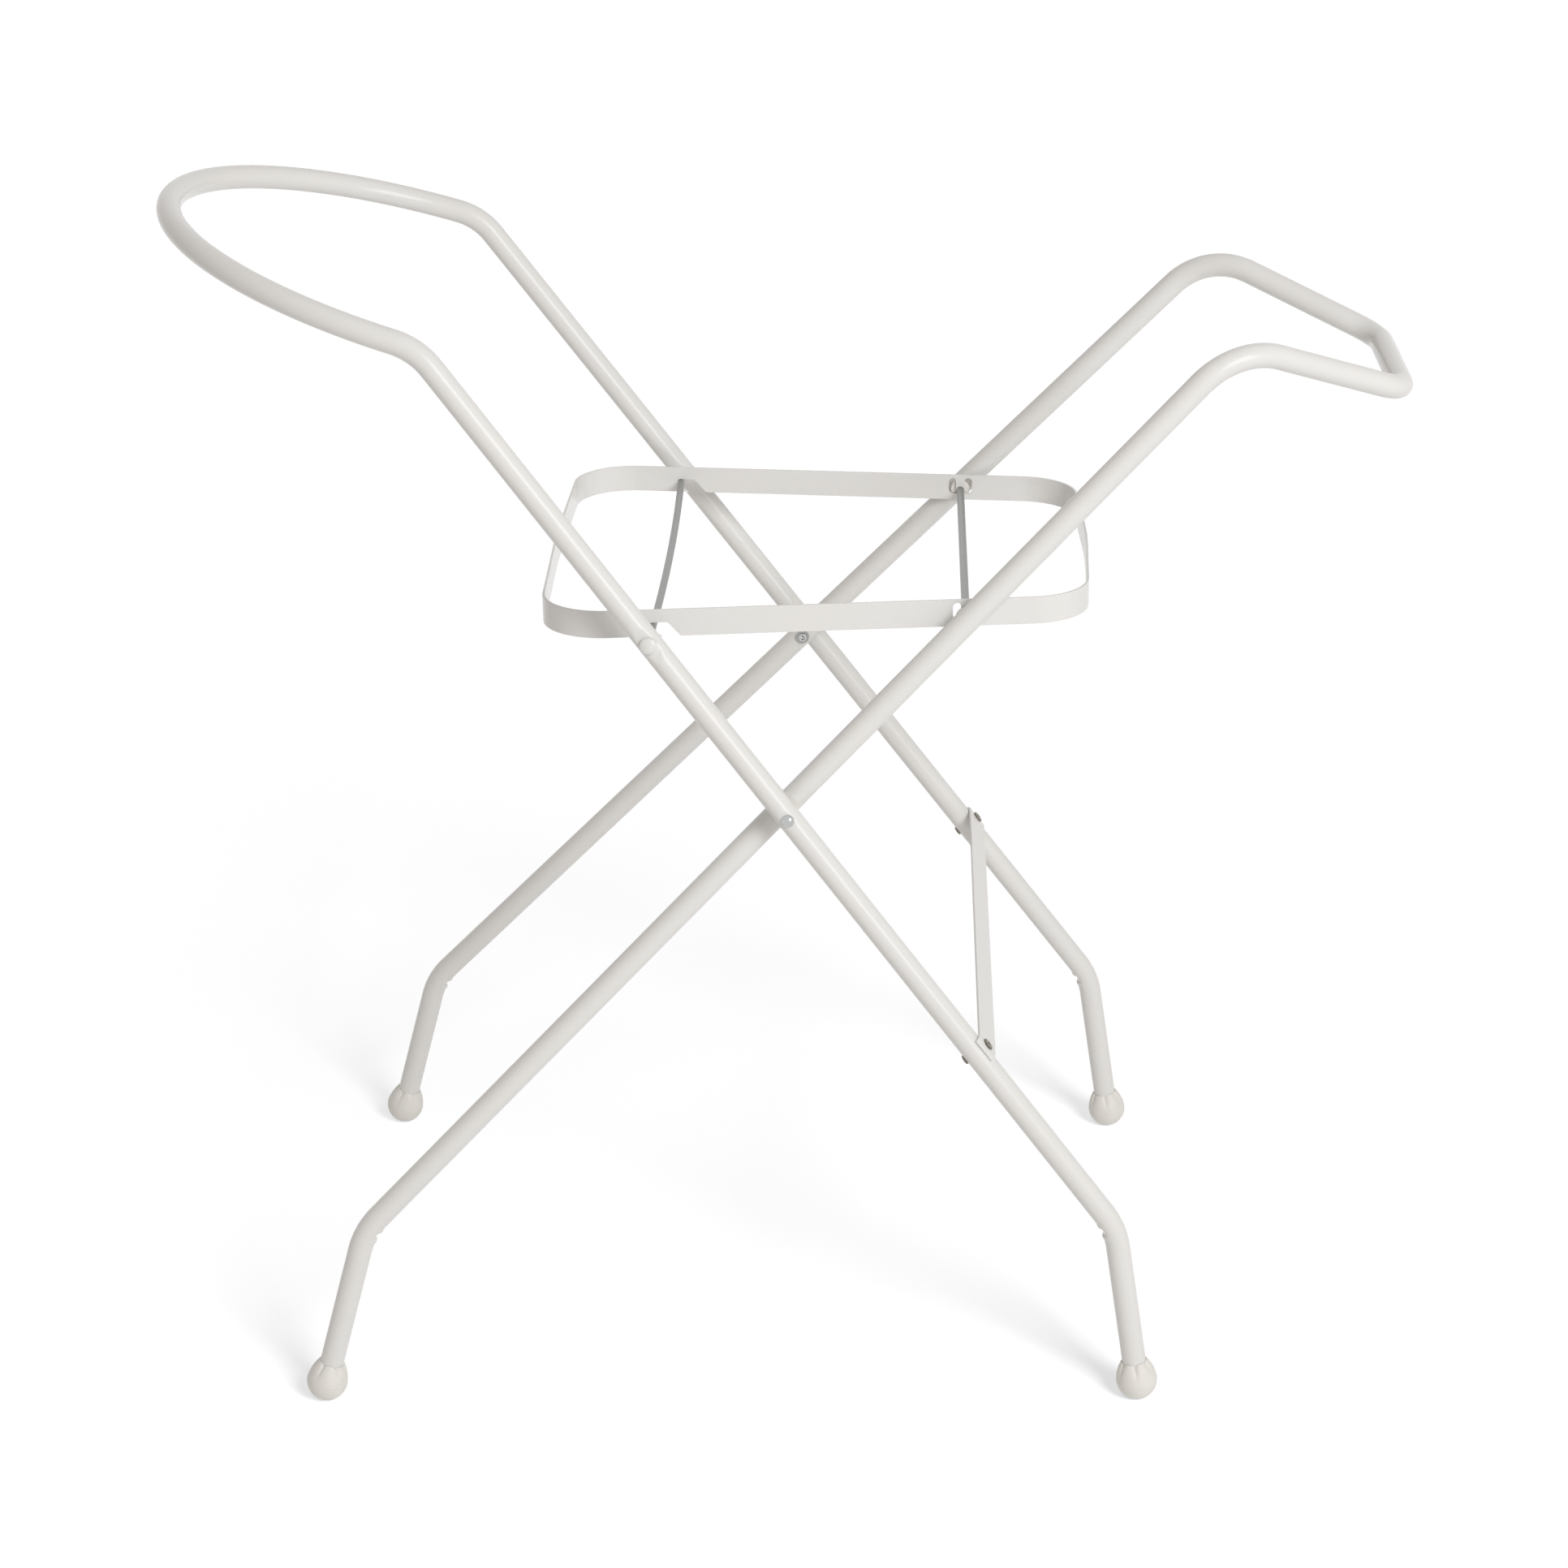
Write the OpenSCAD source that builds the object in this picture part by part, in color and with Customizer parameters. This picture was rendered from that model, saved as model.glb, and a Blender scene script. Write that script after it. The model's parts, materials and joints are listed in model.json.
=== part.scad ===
// Folding stand for a baby bath: two bent tube frames that cross at a pivot, and a flat steel
// ring between the upper legs that latches the stand open.
// Millimetres, +Z up. The origin is on the floor, under the middle of the stand.

/* [Tubes] */
// Outside diameter of the frame tube
tube_d = 20; // [16:0.5:25]
// Wall of the frame tube
tube_wall = 1; // [0.8:0.1:2]
// Height of the pivot above the floor
pivot_height = 519; // [480:1:560]

/* [Outer frame] */
// Slope of the outer legs from level, in degrees
outer_slope = 53.6; // [50:0.1:58]
// Leg length from the pivot up to the upper bend
outer_up = 475; // [430:1:520]
// Leg length from the pivot down to the lower bend
outer_down = 450; // [420:1:480]
// Distance from the middle plane to the outer leg's axis, at the pivot
outer_half = 245.4; // [225:0.2:270]
// How much the outer legs spread towards the floor, in degrees
outer_splay = 2; // [0:0.1:3]
// Lean of the outer shanks from upright, seen from the side, in degrees
outer_shank_lean = 8.1; // [4:0.1:14]
// Outward lean of the outer shanks, in degrees
outer_shank_splay = 0.8; // [0:0.1:3]
// Rise of the round end loop from level, in degrees
outer_loop_rise = 17.5; // [8:0.1:26]
// Reach of the round end loop past the upper bend
outer_loop_reach = 236; // [200:1:280]
// Inward turn of the loop's sides, in degrees
outer_loop_converge = 4; // [2:0.1:8]
// Centreline radius of the outer frame's upper bends
outer_upper_bend = 58; // [40:1:70]
// Centreline radius of the outer frame's lower bends
outer_lower_bend = 70; // [40:1:90]

/* [Inner frame] */
// Slope of the inner legs from level, in degrees
inner_slope = 45.6; // [42:0.1:50]
// Leg length from the pivot up to the upper bend
inner_up = 508; // [470:1:550]
// Leg length from the pivot down to the lower bend
inner_down = 512; // [480:1:540]
// Distance from the middle plane to the inner leg's axis, at the pivot
inner_half = 211.2; // [195:0.2:220]
// How much the inner legs spread towards the floor, in degrees
inner_splay = 7.5; // [3:0.1:8.5]
// Lean of the inner shanks from upright, seen from the side, in degrees
inner_shank_lean = 15.5; // [10:0.1:22]
// Outward lean of the inner shanks, in degrees
inner_shank_splay = 3.1; // [0:0.1:5]
// Fall of the square end loop from level, in degrees
inner_loop_fall = 21.9; // [12:0.1:30]
// Reach of the square end loop past the upper bend
inner_loop_reach = 151.7; // [130:0.5:180]
// Half the width of the square end loop, at its corners
inner_loop_half = 87; // [70:1:110]
// Centreline radius of the square end loop's corners
inner_corner_bend = 38; // [28:1:45]
// Centreline radius of the inner frame's upper bends
inner_upper_bend = 62; // [40:1:75]
// Centreline radius of the inner frame's lower bends
inner_lower_bend = 70; // [40:1:90]

/* [Feet] */
// Diameter of a foot at its widest
foot_d = 34.5; // [28:0.5:40]
// Diameter of the flat that a foot stands on
foot_flat_d = 13; // [8:0.5:20]
// Length of a foot's egg-shaped upper part, above its girth
foot_upper = 17.5; // [15:0.5:24]
// Diameter of a foot's mouth round the tube
foot_mouth_d = 22.8; // [22:0.2:26]
// Number of flutes round a foot's upper part
foot_flutes = 6; // [0:1:8]
// Diameter of a flute
flute_d = 4; // [3:0.5:8]
// Depth of a flute at the mouth
flute_depth = 0.9; // [0.5:0.1:1.1]
// Turn of the outer feet's flutes round the shank, in degrees
outer_flute_turn = 36; // [0:1:60]
// Turn of the inner feet's flutes round the shank, in degrees
inner_flute_turn = 47; // [0:1:60]

/* [Pivots] */
// Diameter of the pivot rivet's shank
pivot_d = 6; // [5:0.5:8]
// Diameter of the pivot rivet's domed head
pivot_head_d = 10.4; // [9:0.2:13]
// Height of the pivot rivet's domed head
pivot_head_h = 3; // [2:0.1:4]
// Diameter of the washer inside the inner tube frame
pivot_washer_d = 11.6; // [10:0.2:15]
// Thickness of the washer
pivot_washer_t = 1; // [0.8:0.1:2]
// Diameter of the spacer between the two tubes
pivot_spacer_d = 15; // [12:0.5:18]

/* [Lock ring] */
// Height of the ring's flat band
ring_h = 22.5; // [20:0.5:26]
// Thickness of the band
ring_t = 2; // [1.5:0.1:3]
// Leg length from the pivot to the latch rod
latch_rod_s = 182; // [165:1:195]
// Leg length from the pivot to the ring's own rod
ring_rod_s = 204; // [190:1:215]
// Gap between the ring and the outer tubes, at the latch rod
ring_outer_gap = 27.6; // [20:0.2:34]
// Gap between the ring and the inner tubes, at the ring's own rod
ring_inner_gap = 5.3; // [5:0.1:8]
// Length of the ring past the latch rod
ring_left_reach = 90.8; // [75:1:105]
// Length of the ring past its own rod
ring_right_reach = 99.3; // [85:1:110]
// Outward bow of the ring's left end
ring_left_bow = 4.2; // [1:0.2:8]
// Outward bow of the ring's right end
ring_right_bow = 6; // [1:0.2:8]
// Outside radius of the ring's left corners
ring_left_corner = 50; // [30:1:70]
// Outside radius of the ring's right corners
ring_right_corner = 52; // [30:1:70]
// Height of both rods above the band's lower edge
ring_rod_rise = 8.4; // [7:0.1:9.5]
// Diameter of the ring's own rod
ring_rod_d = 6.6; // [5:0.2:7]
// Width of the window round the ring's own rod
window_w = 20.6; // [17:0.2:24]
// Height of the window
window_h = 14.2; // [12.5:0.1:15.5]
// Width of the tab that hangs in the window over the rod
tab_w = 8; // [7:0.2:10]
// Diameter of the latch rod
latch_rod_d = 6; // [4:0.5:6.5]
// Sideways bow of the latch rod at its middle
latch_rod_bow = 3.2; // [1:0.1:5]
// Level length of the latch notch, past the rod
notch_flat = 11.8; // [10.6:0.2:14]
// Length that the notch's slanted side takes
notch_chamfer = 10.5; // [8:0.1:14]
// Length of the tongue that the latch rod rests over
tongue_l = 7; // [6:0.2:7.8]
// Diameter of the washer-like bushes on the ring's rod
ring_bush_d = 16.5; // [12:0.5:20]
// Diameter of the caps over the latch rod's ends
latch_cap_d = 12.8; // [11:0.2:17]
// Height of the caps' domes
latch_cap_h = 3.6; // [2:0.1:5]

/* [Brace] */
// Leg length from the pivot down to the brace
brace_s = 254; // [200:1:300]
// Width of the brace strap
brace_w = 22; // [16:0.5:26]
// Thickness of the brace strap
brace_t = 2; // [1.5:0.1:3]
// How far the strap's ends wrap round the tubes, in degrees
brace_wrap = 46; // [30:1:60]
// Diameter of the brace rivets' shanks
brace_rivet_d = 5; // [4:0.5:6]
// Diameter of the brace rivets' heads
brace_head_d = 10.4; // [8:0.2:12]
// Thickness of the brace rivets' heads
brace_head_t = 1.4; // [1:0.1:2]
// Bore of the hollow brace rivets
brace_rivet_bore = 3; // [2:0.2:3.4]

/* [Fits] */
// Radial clearance of the moving pins in their holes
running_fit = 0.08; // [0.03:0.01:0.1]
// Gap between faces that are pressed or riveted together
seat_gap = 0.05; // [0.03:0.01:0.2]
// Gap between faces of parts that move past each other
free_gap = 0.35; // [0.3:0.05:0.8]

/* [Hidden] */
$fn = 64;

paint = "#e4e2de";
plastic = "#e9e7e1";
zinc = "#a9adab";
chrome_colour = "#b9bab8";
dark_steel = "#6a6560";

over = 1;                          // how far cutters run past the faces they open
joint_gap = 0.1;                   // stretches of a bar stop this far from their meeting
collar_half = 0.4;                 // half the length of the thin collar that joins them
collar_proud = 0.03;               // what the collar stands proud of the bar
tube_r = tube_d / 2;
tube_bore_r = tube_r - tube_wall;

// ---- Vectors -------------------------------------------------------------------------------
function unit(v) = v / norm(v);
function turn_at(a, p, b) = acos(min(1, max(-1, unit(p - a) * unit(b - p))));
function trim_at(a, p, b, bend) = bend * tan(turn_at(a, p, b) / 2);
function mirrored(points) =
    [for (i = [len(points) - 1 : -1 : 0]) [points[i].x, -points[i].y, points[i].z]];
function reversed(list) = [for (i = [len(list) - 1 : -1 : 0]) list[i]];

// ---- Outer frame, seen from the pivot: its upper legs lean to -X --------------------------------
function outer_y(h) = outer_half - h * tan(outer_splay);
function outer_axis(s, side) =      // point of a leg's axis, s above the pivot along the leg
    [-s * cos(outer_slope), side * outer_y(s * sin(outer_slope)), s * sin(outer_slope)];
outer_upper = outer_axis(outer_up, 1);
outer_lower = outer_axis(-outer_down, 1);
outer_corner = outer_upper + [
    -outer_loop_reach * cos(outer_loop_rise),
    -outer_loop_reach * tan(outer_loop_converge),
    outer_loop_reach * sin(outer_loop_rise)];
foot_r = foot_d / 2;
foot_girth_height = sqrt(foot_r * foot_r - foot_flat_d * foot_flat_d / 4);   // a ball cut flat below
foot_axis_h = foot_girth_height - pivot_height;       // a tube ends inside its foot, at the girth
outer_shank_h = outer_lower.z - foot_axis_h;
outer_end = outer_lower + outer_shank_h * [tan(outer_shank_lean), tan(outer_shank_splay), -1];
outer_loop_side = norm(outer_corner - outer_upper);
loop_straight = 1;                                    // least straight length between two bends
outer_corner_trim = min(outer_corner.y,
    outer_loop_side - trim_at(outer_lower, outer_upper, outer_corner, outer_upper_bend) - loop_straight);
outer_corner_turn = turn_at(outer_upper, outer_corner, outer_corner - [0, 1, 0]);
outer_corner_bend = outer_corner_trim / tan(outer_corner_turn / 2);
outer_half_path = [outer_end, outer_lower, outer_upper, outer_corner];
outer_half_bends = [0, outer_lower_bend, outer_upper_bend, outer_corner_bend];

// ---- Inner frame: its upper legs lean to +X -----------------------------------------------------
function inner_y(h) = inner_half - h * tan(inner_splay);
function inner_axis(s, side) =
    [s * cos(inner_slope), side * inner_y(s * sin(inner_slope)), s * sin(inner_slope)];
inner_upper = inner_axis(inner_up, 1);
inner_lower = inner_axis(-inner_down, 1);
inner_corner = [
    inner_upper.x + inner_loop_reach * cos(inner_loop_fall),
    inner_loop_half,
    inner_upper.z - inner_loop_reach * sin(inner_loop_fall)];
inner_shank_h = inner_lower.z - foot_axis_h;
inner_end = inner_lower + inner_shank_h * [-tan(inner_shank_lean), tan(inner_shank_splay), -1];
inner_half_path = [inner_end, inner_lower, inner_upper, inner_corner];
inner_half_bends = [0, inner_lower_bend, inner_upper_bend, inner_corner_bend];

// The pivot stands off the middle, so that the stand's overall length is centred on the origin
pivot_x = -(outer_corner.x + inner_corner.x) / 2;
pivot = [pivot_x, 0, pivot_height];

// ---- Rods and ring, seen from the pivot ----------------------------------------------------------
latch_point = outer_axis(latch_rod_s, 1);
ring_point = inner_axis(ring_rod_s, 1);
ring_half_latch = latch_point.y - tube_r - ring_outer_gap;   // ring's half width at the latch rod
ring_half_rod = ring_point.y - tube_r - ring_inner_gap;      // ring's half width at its own rod
latch_kink_inset = 4;
latch_kink_y = latch_point.y - tube_r - latch_kink_inset;    // where the rod leaves its straight end
latch_lean = atan(2 * latch_rod_bow / latch_kink_y);
latch_shift = (latch_kink_y - ring_half_latch) * tan(latch_lean);  // rod's shift at the ring
rod_line = [ring_point.x - latch_point.x - latch_shift, ring_point.z - latch_point.z];
rod_gap = norm(rod_line);
ring_tilt = atan2(rod_line.y, rod_line.x);                   // both rods lie at one height in the ring
ring_taper = (ring_half_latch - ring_half_rod) / rod_gap;
ring_left = -rod_gap - ring_left_reach;
ring_left_half = ring_half_rod - ring_taper * ring_left;
ring_right_half = ring_half_rod - ring_taper * ring_right_reach;
ring_end_bend = 1000;                                        // radius of the bowed ends' middles
ring_outline = [
    [ring_left, -ring_left_half],
    [ring_right_reach, -ring_right_half],
    [ring_right_reach + ring_right_bow, 0],
    [ring_right_reach, ring_right_half],
    [ring_left, ring_left_half],
    [ring_left - ring_left_bow, 0]];
ring_bends = [ring_left_corner, ring_right_corner, ring_end_bend,
    ring_right_corner, ring_left_corner, ring_end_bend];
ring_bottom = -ring_rod_rise;
corner_step = 6;                                             // degrees between the points of a corner
latch_seat_r = latch_rod_d / 2 + free_gap;
latch_hole_r = latch_rod_d / 2 + seat_gap;
ring_hole_r = ring_rod_d / 2 + running_fit;
window_scoop = 0.4;
window_bottom = window_scoop - ring_rod_d / 2;               // its edge is scooped for the rod
window_corner = 3.5;
pivot_hole_r = pivot_d / 2 + running_fit;
brace_hole_r = brace_rivet_d / 2 + seat_gap;
brace_point = outer_axis(-brace_s, 1);
brace_gap = 0.3;                                             // the strap lies this far off the tubes
wrap_steps = 8;                                              // flats that make up one wrapped end
rod_end_inset = 1.5;                                         // ring's rod stops this far inside the tube
cap_skin = 2;                                                // what a cap has beyond the latch rod's end
latch_end_y = latch_point.y + tube_r + latch_cap_h - cap_skin;

// ---- Bars, bends and bent bars -------------------------------------------------------------------
module along(from, to) {           // turns +Z to point from one point to another
    v = to - from;
    translate(from) rotate([0, acos(v.z / norm(v)), atan2(v.y, v.x)]) children();
}
module bar(from, to, r) {
    along(from, to) cylinder(r = r, h = norm(to - from));
}
module place(x_dir, z_dir, origin) {
    y_dir = cross(z_dir, x_dir);
    multmatrix([
        [x_dir.x, y_dir.x, z_dir.x, origin.x],
        [x_dir.y, y_dir.y, z_dir.y, origin.y],
        [x_dir.z, y_dir.z, z_dir.z, origin.z],
        [0, 0, 0, 1]]) children();
}
module elbow(before, corner, after, bend, r) {
    u = unit(before - corner);
    v = unit(after - corner);
    turn = turn_at(before, corner, after);
    centre = corner + unit(u + v) * bend / cos(turn / 2);
    start_dir = unit(corner + u * bend * tan(turn / 2) - centre);
    normal = unit(cross(start_dir, -u));
    short = asin(joint_gap / bend);
    place(start_dir, normal, centre) rotate([0, 0, short])
        rotate_extrude(angle = turn - 2 * short, $fn = 180) translate([bend, 0]) circle(r = r);
}
module collar(point, way, r) {     // bridges the hair's breadth between two stretches of a bar
    bar(point - way * collar_half, point + way * collar_half, r + collar_proud);
}
module bent_bar(points, bends, r) {
    last = len(points) - 1;
    trims = [for (i = [0 : last]) (i == 0 || i == last) ? 0 :
        trim_at(points[i - 1], points[i], points[i + 1], bends[i])];
    for (i = [0 : last - 1]) {
        step = unit(points[i + 1] - points[i]);
        from = points[i] + step * (i == 0 ? 0 : trims[i] + joint_gap);
        to = points[i + 1] - step * (i == last - 1 ? 0 : trims[i + 1] + joint_gap);
        if ((to - from) * step > 2 * collar_half) {
            bar(from, to, r);
            if (i > 0) collar(points[i] + step * trims[i], step, r);
            if (i < last - 1) collar(points[i + 1] - step * trims[i + 1], step, r);
        } else {
            collar((from + to) / 2, step, r);
        }
    }
    for (i = [1 : last - 1]) elbow(points[i - 1], points[i], points[i + 1], bends[i], r);
}
function stretched(points, extra) =     // the same path with its two ends run on
    let (last = len(points) - 1)
    [for (i = [0 : last])
        i == 0 ? points[0] + unit(points[0] - points[1]) * extra :
        i == last ? points[last] + unit(points[last] - points[last - 1]) * extra : points[i]];
module bent_tube(half_path, half_bends) {
    path = concat(half_path, mirrored(half_path));
    bends = concat(half_bends, reversed(half_bends));
    difference() {
        bent_bar(path, bends, tube_r);
        bent_bar(stretched(path, over), bends, tube_bore_r);
    }
}
module outer_leg(side, r) { bar(outer_axis(-outer_down, side), outer_axis(outer_up, side), r); }
module inner_leg(side, r) { bar(inner_axis(-inner_down, side), inner_axis(inner_up, side), r); }
module cross_bar(x, z, from_y, to_y, r) {       // a round bar along Y, from one height of Y to another
    translate([x, min(from_y, to_y), z]) rotate([-90, 0, 0]) cylinder(r = r, h = abs(to_y - from_y));
}

// ---- Outer frame -------------------------------------------------------------------------------------
module outer_tube() {
    far = outer_half + tube_d;
    color(paint) translate(pivot) difference() {
        bent_tube(outer_half_path, outer_half_bends);
        cross_bar(0, 0, -far, far, pivot_hole_r);
        cross_bar(latch_point.x, latch_point.z, -far, far, latch_hole_r);
        for (side = [-1, 1]) at_brace(side)
            translate([0, 0, -tube_d]) cylinder(r = brace_hole_r, h = 2 * tube_d);
    }
}
module at_brace(side) {            // +Z square to the leg, up and outwards; +X down the leg
    down_leg = unit(outer_axis(-outer_down, side) - outer_axis(outer_up, side));
    square = unit(cross(down_leg, [0, 1, 0]));
    place(down_leg, square, outer_axis(-brace_s, side)) children();
}
module brace_strap() {
    half = brace_point.y;
    low = tube_r + brace_gap;
    high = low + brace_t;
    wrap = [for (i = [0 : wrap_steps]) i * brace_wrap / wrap_steps];
    function edge(radius, side) =
        [for (a = wrap) [side * (half + radius * sin(a)), radius * cos(a)]];
    profile = concat(
        reversed(edge(high, -1)), edge(high, 1),
        reversed(edge(low, 1)), edge(low, -1));
    color(paint) translate(pivot) difference() {
        at_mid_brace() rotate([90, 0, 90])
            linear_extrude(height = brace_w, center = true) polygon(profile);
        for (side = [-1, 1]) at_brace(side) translate([0, 0, tube_r - over])
            cylinder(r = brace_hole_r, h = brace_t + 2 * over + brace_gap);
    }
}
module at_mid_brace() {            // +Z as at_brace, on the middle plane
    place([cos(outer_slope), 0, -sin(outer_slope)], [sin(outer_slope), 0, cos(outer_slope)],
        [brace_point.x, 0, brace_point.z]) children();
}
module brace_rivet(side) {
    brace_head_slant = 1;
    top = tube_r + brace_gap + brace_t + seat_gap;
    bottom = -tube_r - brace_head_t;
    tail_r = brace_head_d / 2 - brace_head_slant;
    color(dark_steel) translate(pivot) at_brace(side) difference() {
        union() {
            translate([0, 0, bottom])
                cylinder(r = brace_rivet_d / 2, h = top + brace_head_t / 2 - bottom);
            translate([0, 0, top]) cylinder(r1 = brace_head_d / 2, r2 = tail_r, h = brace_head_t);
            difference() {
                translate([0, 0, bottom]) cylinder(r = tail_r, h = 2 * brace_head_t);
                rotate([0, 90, 0]) cylinder(r = tube_r + seat_gap, h = tube_d, center = true);
            }
        }
        translate([0, 0, top - brace_t]) cylinder(r = brace_rivet_bore / 2, h = tube_d);
    }
}
module latch_rod() {
    path = [
        [latch_point.x, -latch_end_y, latch_point.z],
        [latch_point.x, -latch_kink_y, latch_point.z],
        [latch_point.x + 2 * latch_rod_bow, 0, latch_point.z],
        [latch_point.x, latch_kink_y, latch_point.z],
        [latch_point.x, latch_end_y, latch_point.z]];
    kink_bend = 200;
    bow_straight = 20;                  // straight length left on either side of the bow
    bow_bend = (latch_kink_y - bow_straight) / tan(latch_lean);
    color(zinc) translate(pivot)
        bent_bar(path, [0, kink_bend, bow_bend, kink_bend, 0], latch_rod_d / 2);
}
module domed_bar(r, top, rise) {   // a bar up from Z = 0 whose end is a dome, rise high
    ball = (r * r + rise * rise) / (2 * rise);
    intersection() {
        translate([0, 0, top - ball]) sphere(r = ball);
        cylinder(r = r, h = top + over);
    }
}
module latch_cap(side) {
    rim = 1.4;
    color(paint) translate(pivot) difference() {
        translate([latch_point.x, side * latch_point.y, latch_point.z]) facing(side)
            domed_bar(latch_cap_d / 2, tube_r + latch_cap_h, latch_cap_h - rim);
        outer_leg(side, tube_r + seat_gap);
        cross_bar(latch_point.x, latch_point.z,
            side * latch_point.y, side * (latch_end_y + seat_gap), latch_hole_r);
    }
}

// ---- Pivots ------------------------------------------------------------------------------------------
// How far a splayed leg's face rises under a disc round the pivot
function spread(d, slope, splay) = d / 2 * sin(slope) * tan(splay);
pivot_inner_y = inner_half - tube_r - spread(pivot_washer_d, inner_slope, inner_splay);
pivot_washer_y = pivot_inner_y - free_gap - pivot_washer_t;   // the washer's free face
pivot_outer_y = outer_half - tube_r - spread(pivot_spacer_d, outer_slope, outer_splay);
pivot_tail = 1.6;                                             // what the rivet's tail stands proud
pivot_tail_flare = 0.7;
pivot_tail_wall = 1;
pivot_tail_bore = 4;                                          // depth of the hollow in the tail
module facing(side) {              // turns +Z outwards, to the stand's front or rear
    rotate([-side * 90, 0, 0]) children();
}
module pivot_rivet(side) {
    tail_y = pivot_washer_y - pivot_tail;
    tail_r = pivot_d / 2 + pivot_tail_flare;
    head_rim = 0.5;
    color(chrome_colour) translate(pivot) difference() {
        union() {
            facing(side) translate([0, 0, tail_y]) {
                cylinder(r = pivot_d / 2, h = outer_half + tube_r - tail_y);
                cylinder(r = tail_r, h = pivot_tail - seat_gap);
            }
            difference() {
                facing(side) translate([0, 0, outer_half])
                    domed_bar(pivot_head_d / 2, tube_r + pivot_head_h, pivot_head_h - head_rim);
                outer_leg(side, tube_r + seat_gap);
            }
        }
        facing(side) translate([0, 0, tail_y - over])
            cylinder(r = pivot_d / 2 - pivot_tail_wall, h = pivot_tail_bore + over);
    }
}
module pivot_washer(side) {
    color(zinc) translate(pivot) facing(side) translate([0, 0, pivot_washer_y])
        difference() {
            cylinder(r = pivot_washer_d / 2, h = pivot_washer_t);
            translate([0, 0, -over]) cylinder(r = pivot_hole_r, h = pivot_washer_t + 2 * over);
        }
}
module pivot_spacer(side) {
    color(plastic) translate(pivot) difference() {
        cross_bar(0, 0, side * inner_half, side * (pivot_outer_y - free_gap), pivot_spacer_d / 2);
        cross_bar(0, 0, side * inner_half, side * pivot_outer_y, pivot_hole_r);
        inner_leg(side, tube_r + seat_gap);
    }
}

// ---- Inner frame --------------------------------------------------------------------------------------
module inner_tube() {
    far = inner_half + tube_d;
    color(paint) translate(pivot) difference() {
        bent_tube(inner_half_path, inner_half_bends);
        cross_bar(0, 0, -far, far, pivot_hole_r);
        cross_bar(ring_point.x, ring_point.z, -ring_point.y, ring_point.y, ring_rod_d / 2 + seat_gap);
    }
}
module ring_rod() {
    end_y = ring_point.y + tube_bore_r - rod_end_inset;
    color(zinc) translate(pivot)
        cross_bar(ring_point.x, ring_point.z, -end_y, end_y, ring_rod_d / 2);
}
module ring_bush(side) {
    taper_gap = ring_taper * ring_bush_d / 2 + free_gap;     // clears the ring's slanting side
    color(plastic) translate(pivot) difference() {
        cross_bar(ring_point.x, ring_point.z,
            side * (ring_half_rod + taper_gap), side * ring_point.y, ring_bush_d / 2);
        cross_bar(ring_point.x, ring_point.z, 0, side * (ring_point.y + over), ring_rod_d / 2 + seat_gap);
        inner_leg(side, tube_r + seat_gap);
    }
}

// ---- Lock ring, drawn with its own rod's axis at the origin ------------------------------------------
function rounded(points, bends, depth) =        // the plan's outline, its corners turned, depth inside
    let (n = len(points))
    [for (i = [0 : n - 1])
        let (before = points[(i + n - 1) % n], corner = points[i], after = points[(i + 1) % n],
            u = unit(before - corner), v = unit(after - corner),
            turn = turn_at(before, corner, after),
            centre = corner + unit(u + v) * bends[i] / cos(turn / 2),
            start = corner + u * bends[i] * tan(turn / 2) - centre,
            first = atan2(start.y, start.x),
            steps = max(2, ceil(turn / corner_step)))
        for (k = [0 : steps])
            centre + (bends[i] - depth)
                * [cos(first + turn * k / steps), sin(first + turn * k / steps)]];
module band(points, bends) {       // a closed wall inside a plan of corners, each with its bend
    translate([0, 0, ring_bottom]) linear_extrude(height = ring_h) difference() {
        polygon(rounded(points, bends, 0));
        polygon(rounded(points, bends, ring_t));
    }
}
module notch_shape() {             // the latch notch, in X and height, open at the lower edge
    tip = [tongue_l, ring_bottom];
    lip_r = latch_seat_r - seat_gap;
    lip_turn = atan2(tip.y, tip.x) - acos(lip_r / norm(tip));           // where the lip leaves the seat
    translate([-rod_gap, 0]) {
        circle(r = latch_seat_r, $fn = 32);
        polygon([
            [0, latch_seat_r],
            [notch_flat, latch_seat_r],
            [notch_flat + notch_chamfer, ring_bottom],
            [notch_flat + notch_chamfer, ring_bottom - over],
            [tip.x, ring_bottom - over],
            tip,
            lip_r * [cos(lip_turn), sin(lip_turn)]]);
    }
}
module window_shape() {            // the window round the ring's own rod, with its hanging tab
    top = window_bottom + window_h;
    difference() {
        union() {
            translate([-window_w / 2 + window_corner, window_bottom])
                square([window_w - 2 * window_corner, window_h]);
            translate([-window_w / 2, window_bottom + window_corner])
                square([window_w, window_h - 2 * window_corner]);
            for (x = [-1, 1], z = [window_bottom + window_corner, top - window_corner])
                translate([x * (window_w / 2 - window_corner), z]) circle(r = window_corner, $fn = 32);
        }
        translate([-tab_w / 2, 0]) square([tab_w, top + over]);
    }
    circle(r = ring_hole_r, $fn = 48);
}
module through_sides() {           // runs a shape of X and height through both long sides
    rotate([90, 0, 0]) linear_extrude(height = 2 * ring_left_half + 2 * over, center = true) children();
}
module lock_ring() {
    color(paint) translate(pivot + [ring_point.x, 0, ring_point.z]) rotate([0, -ring_tilt, 0])
        difference() {
            band(ring_outline, ring_bends);
            through_sides() notch_shape();
            through_sides() window_shape();
        }
}

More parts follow.
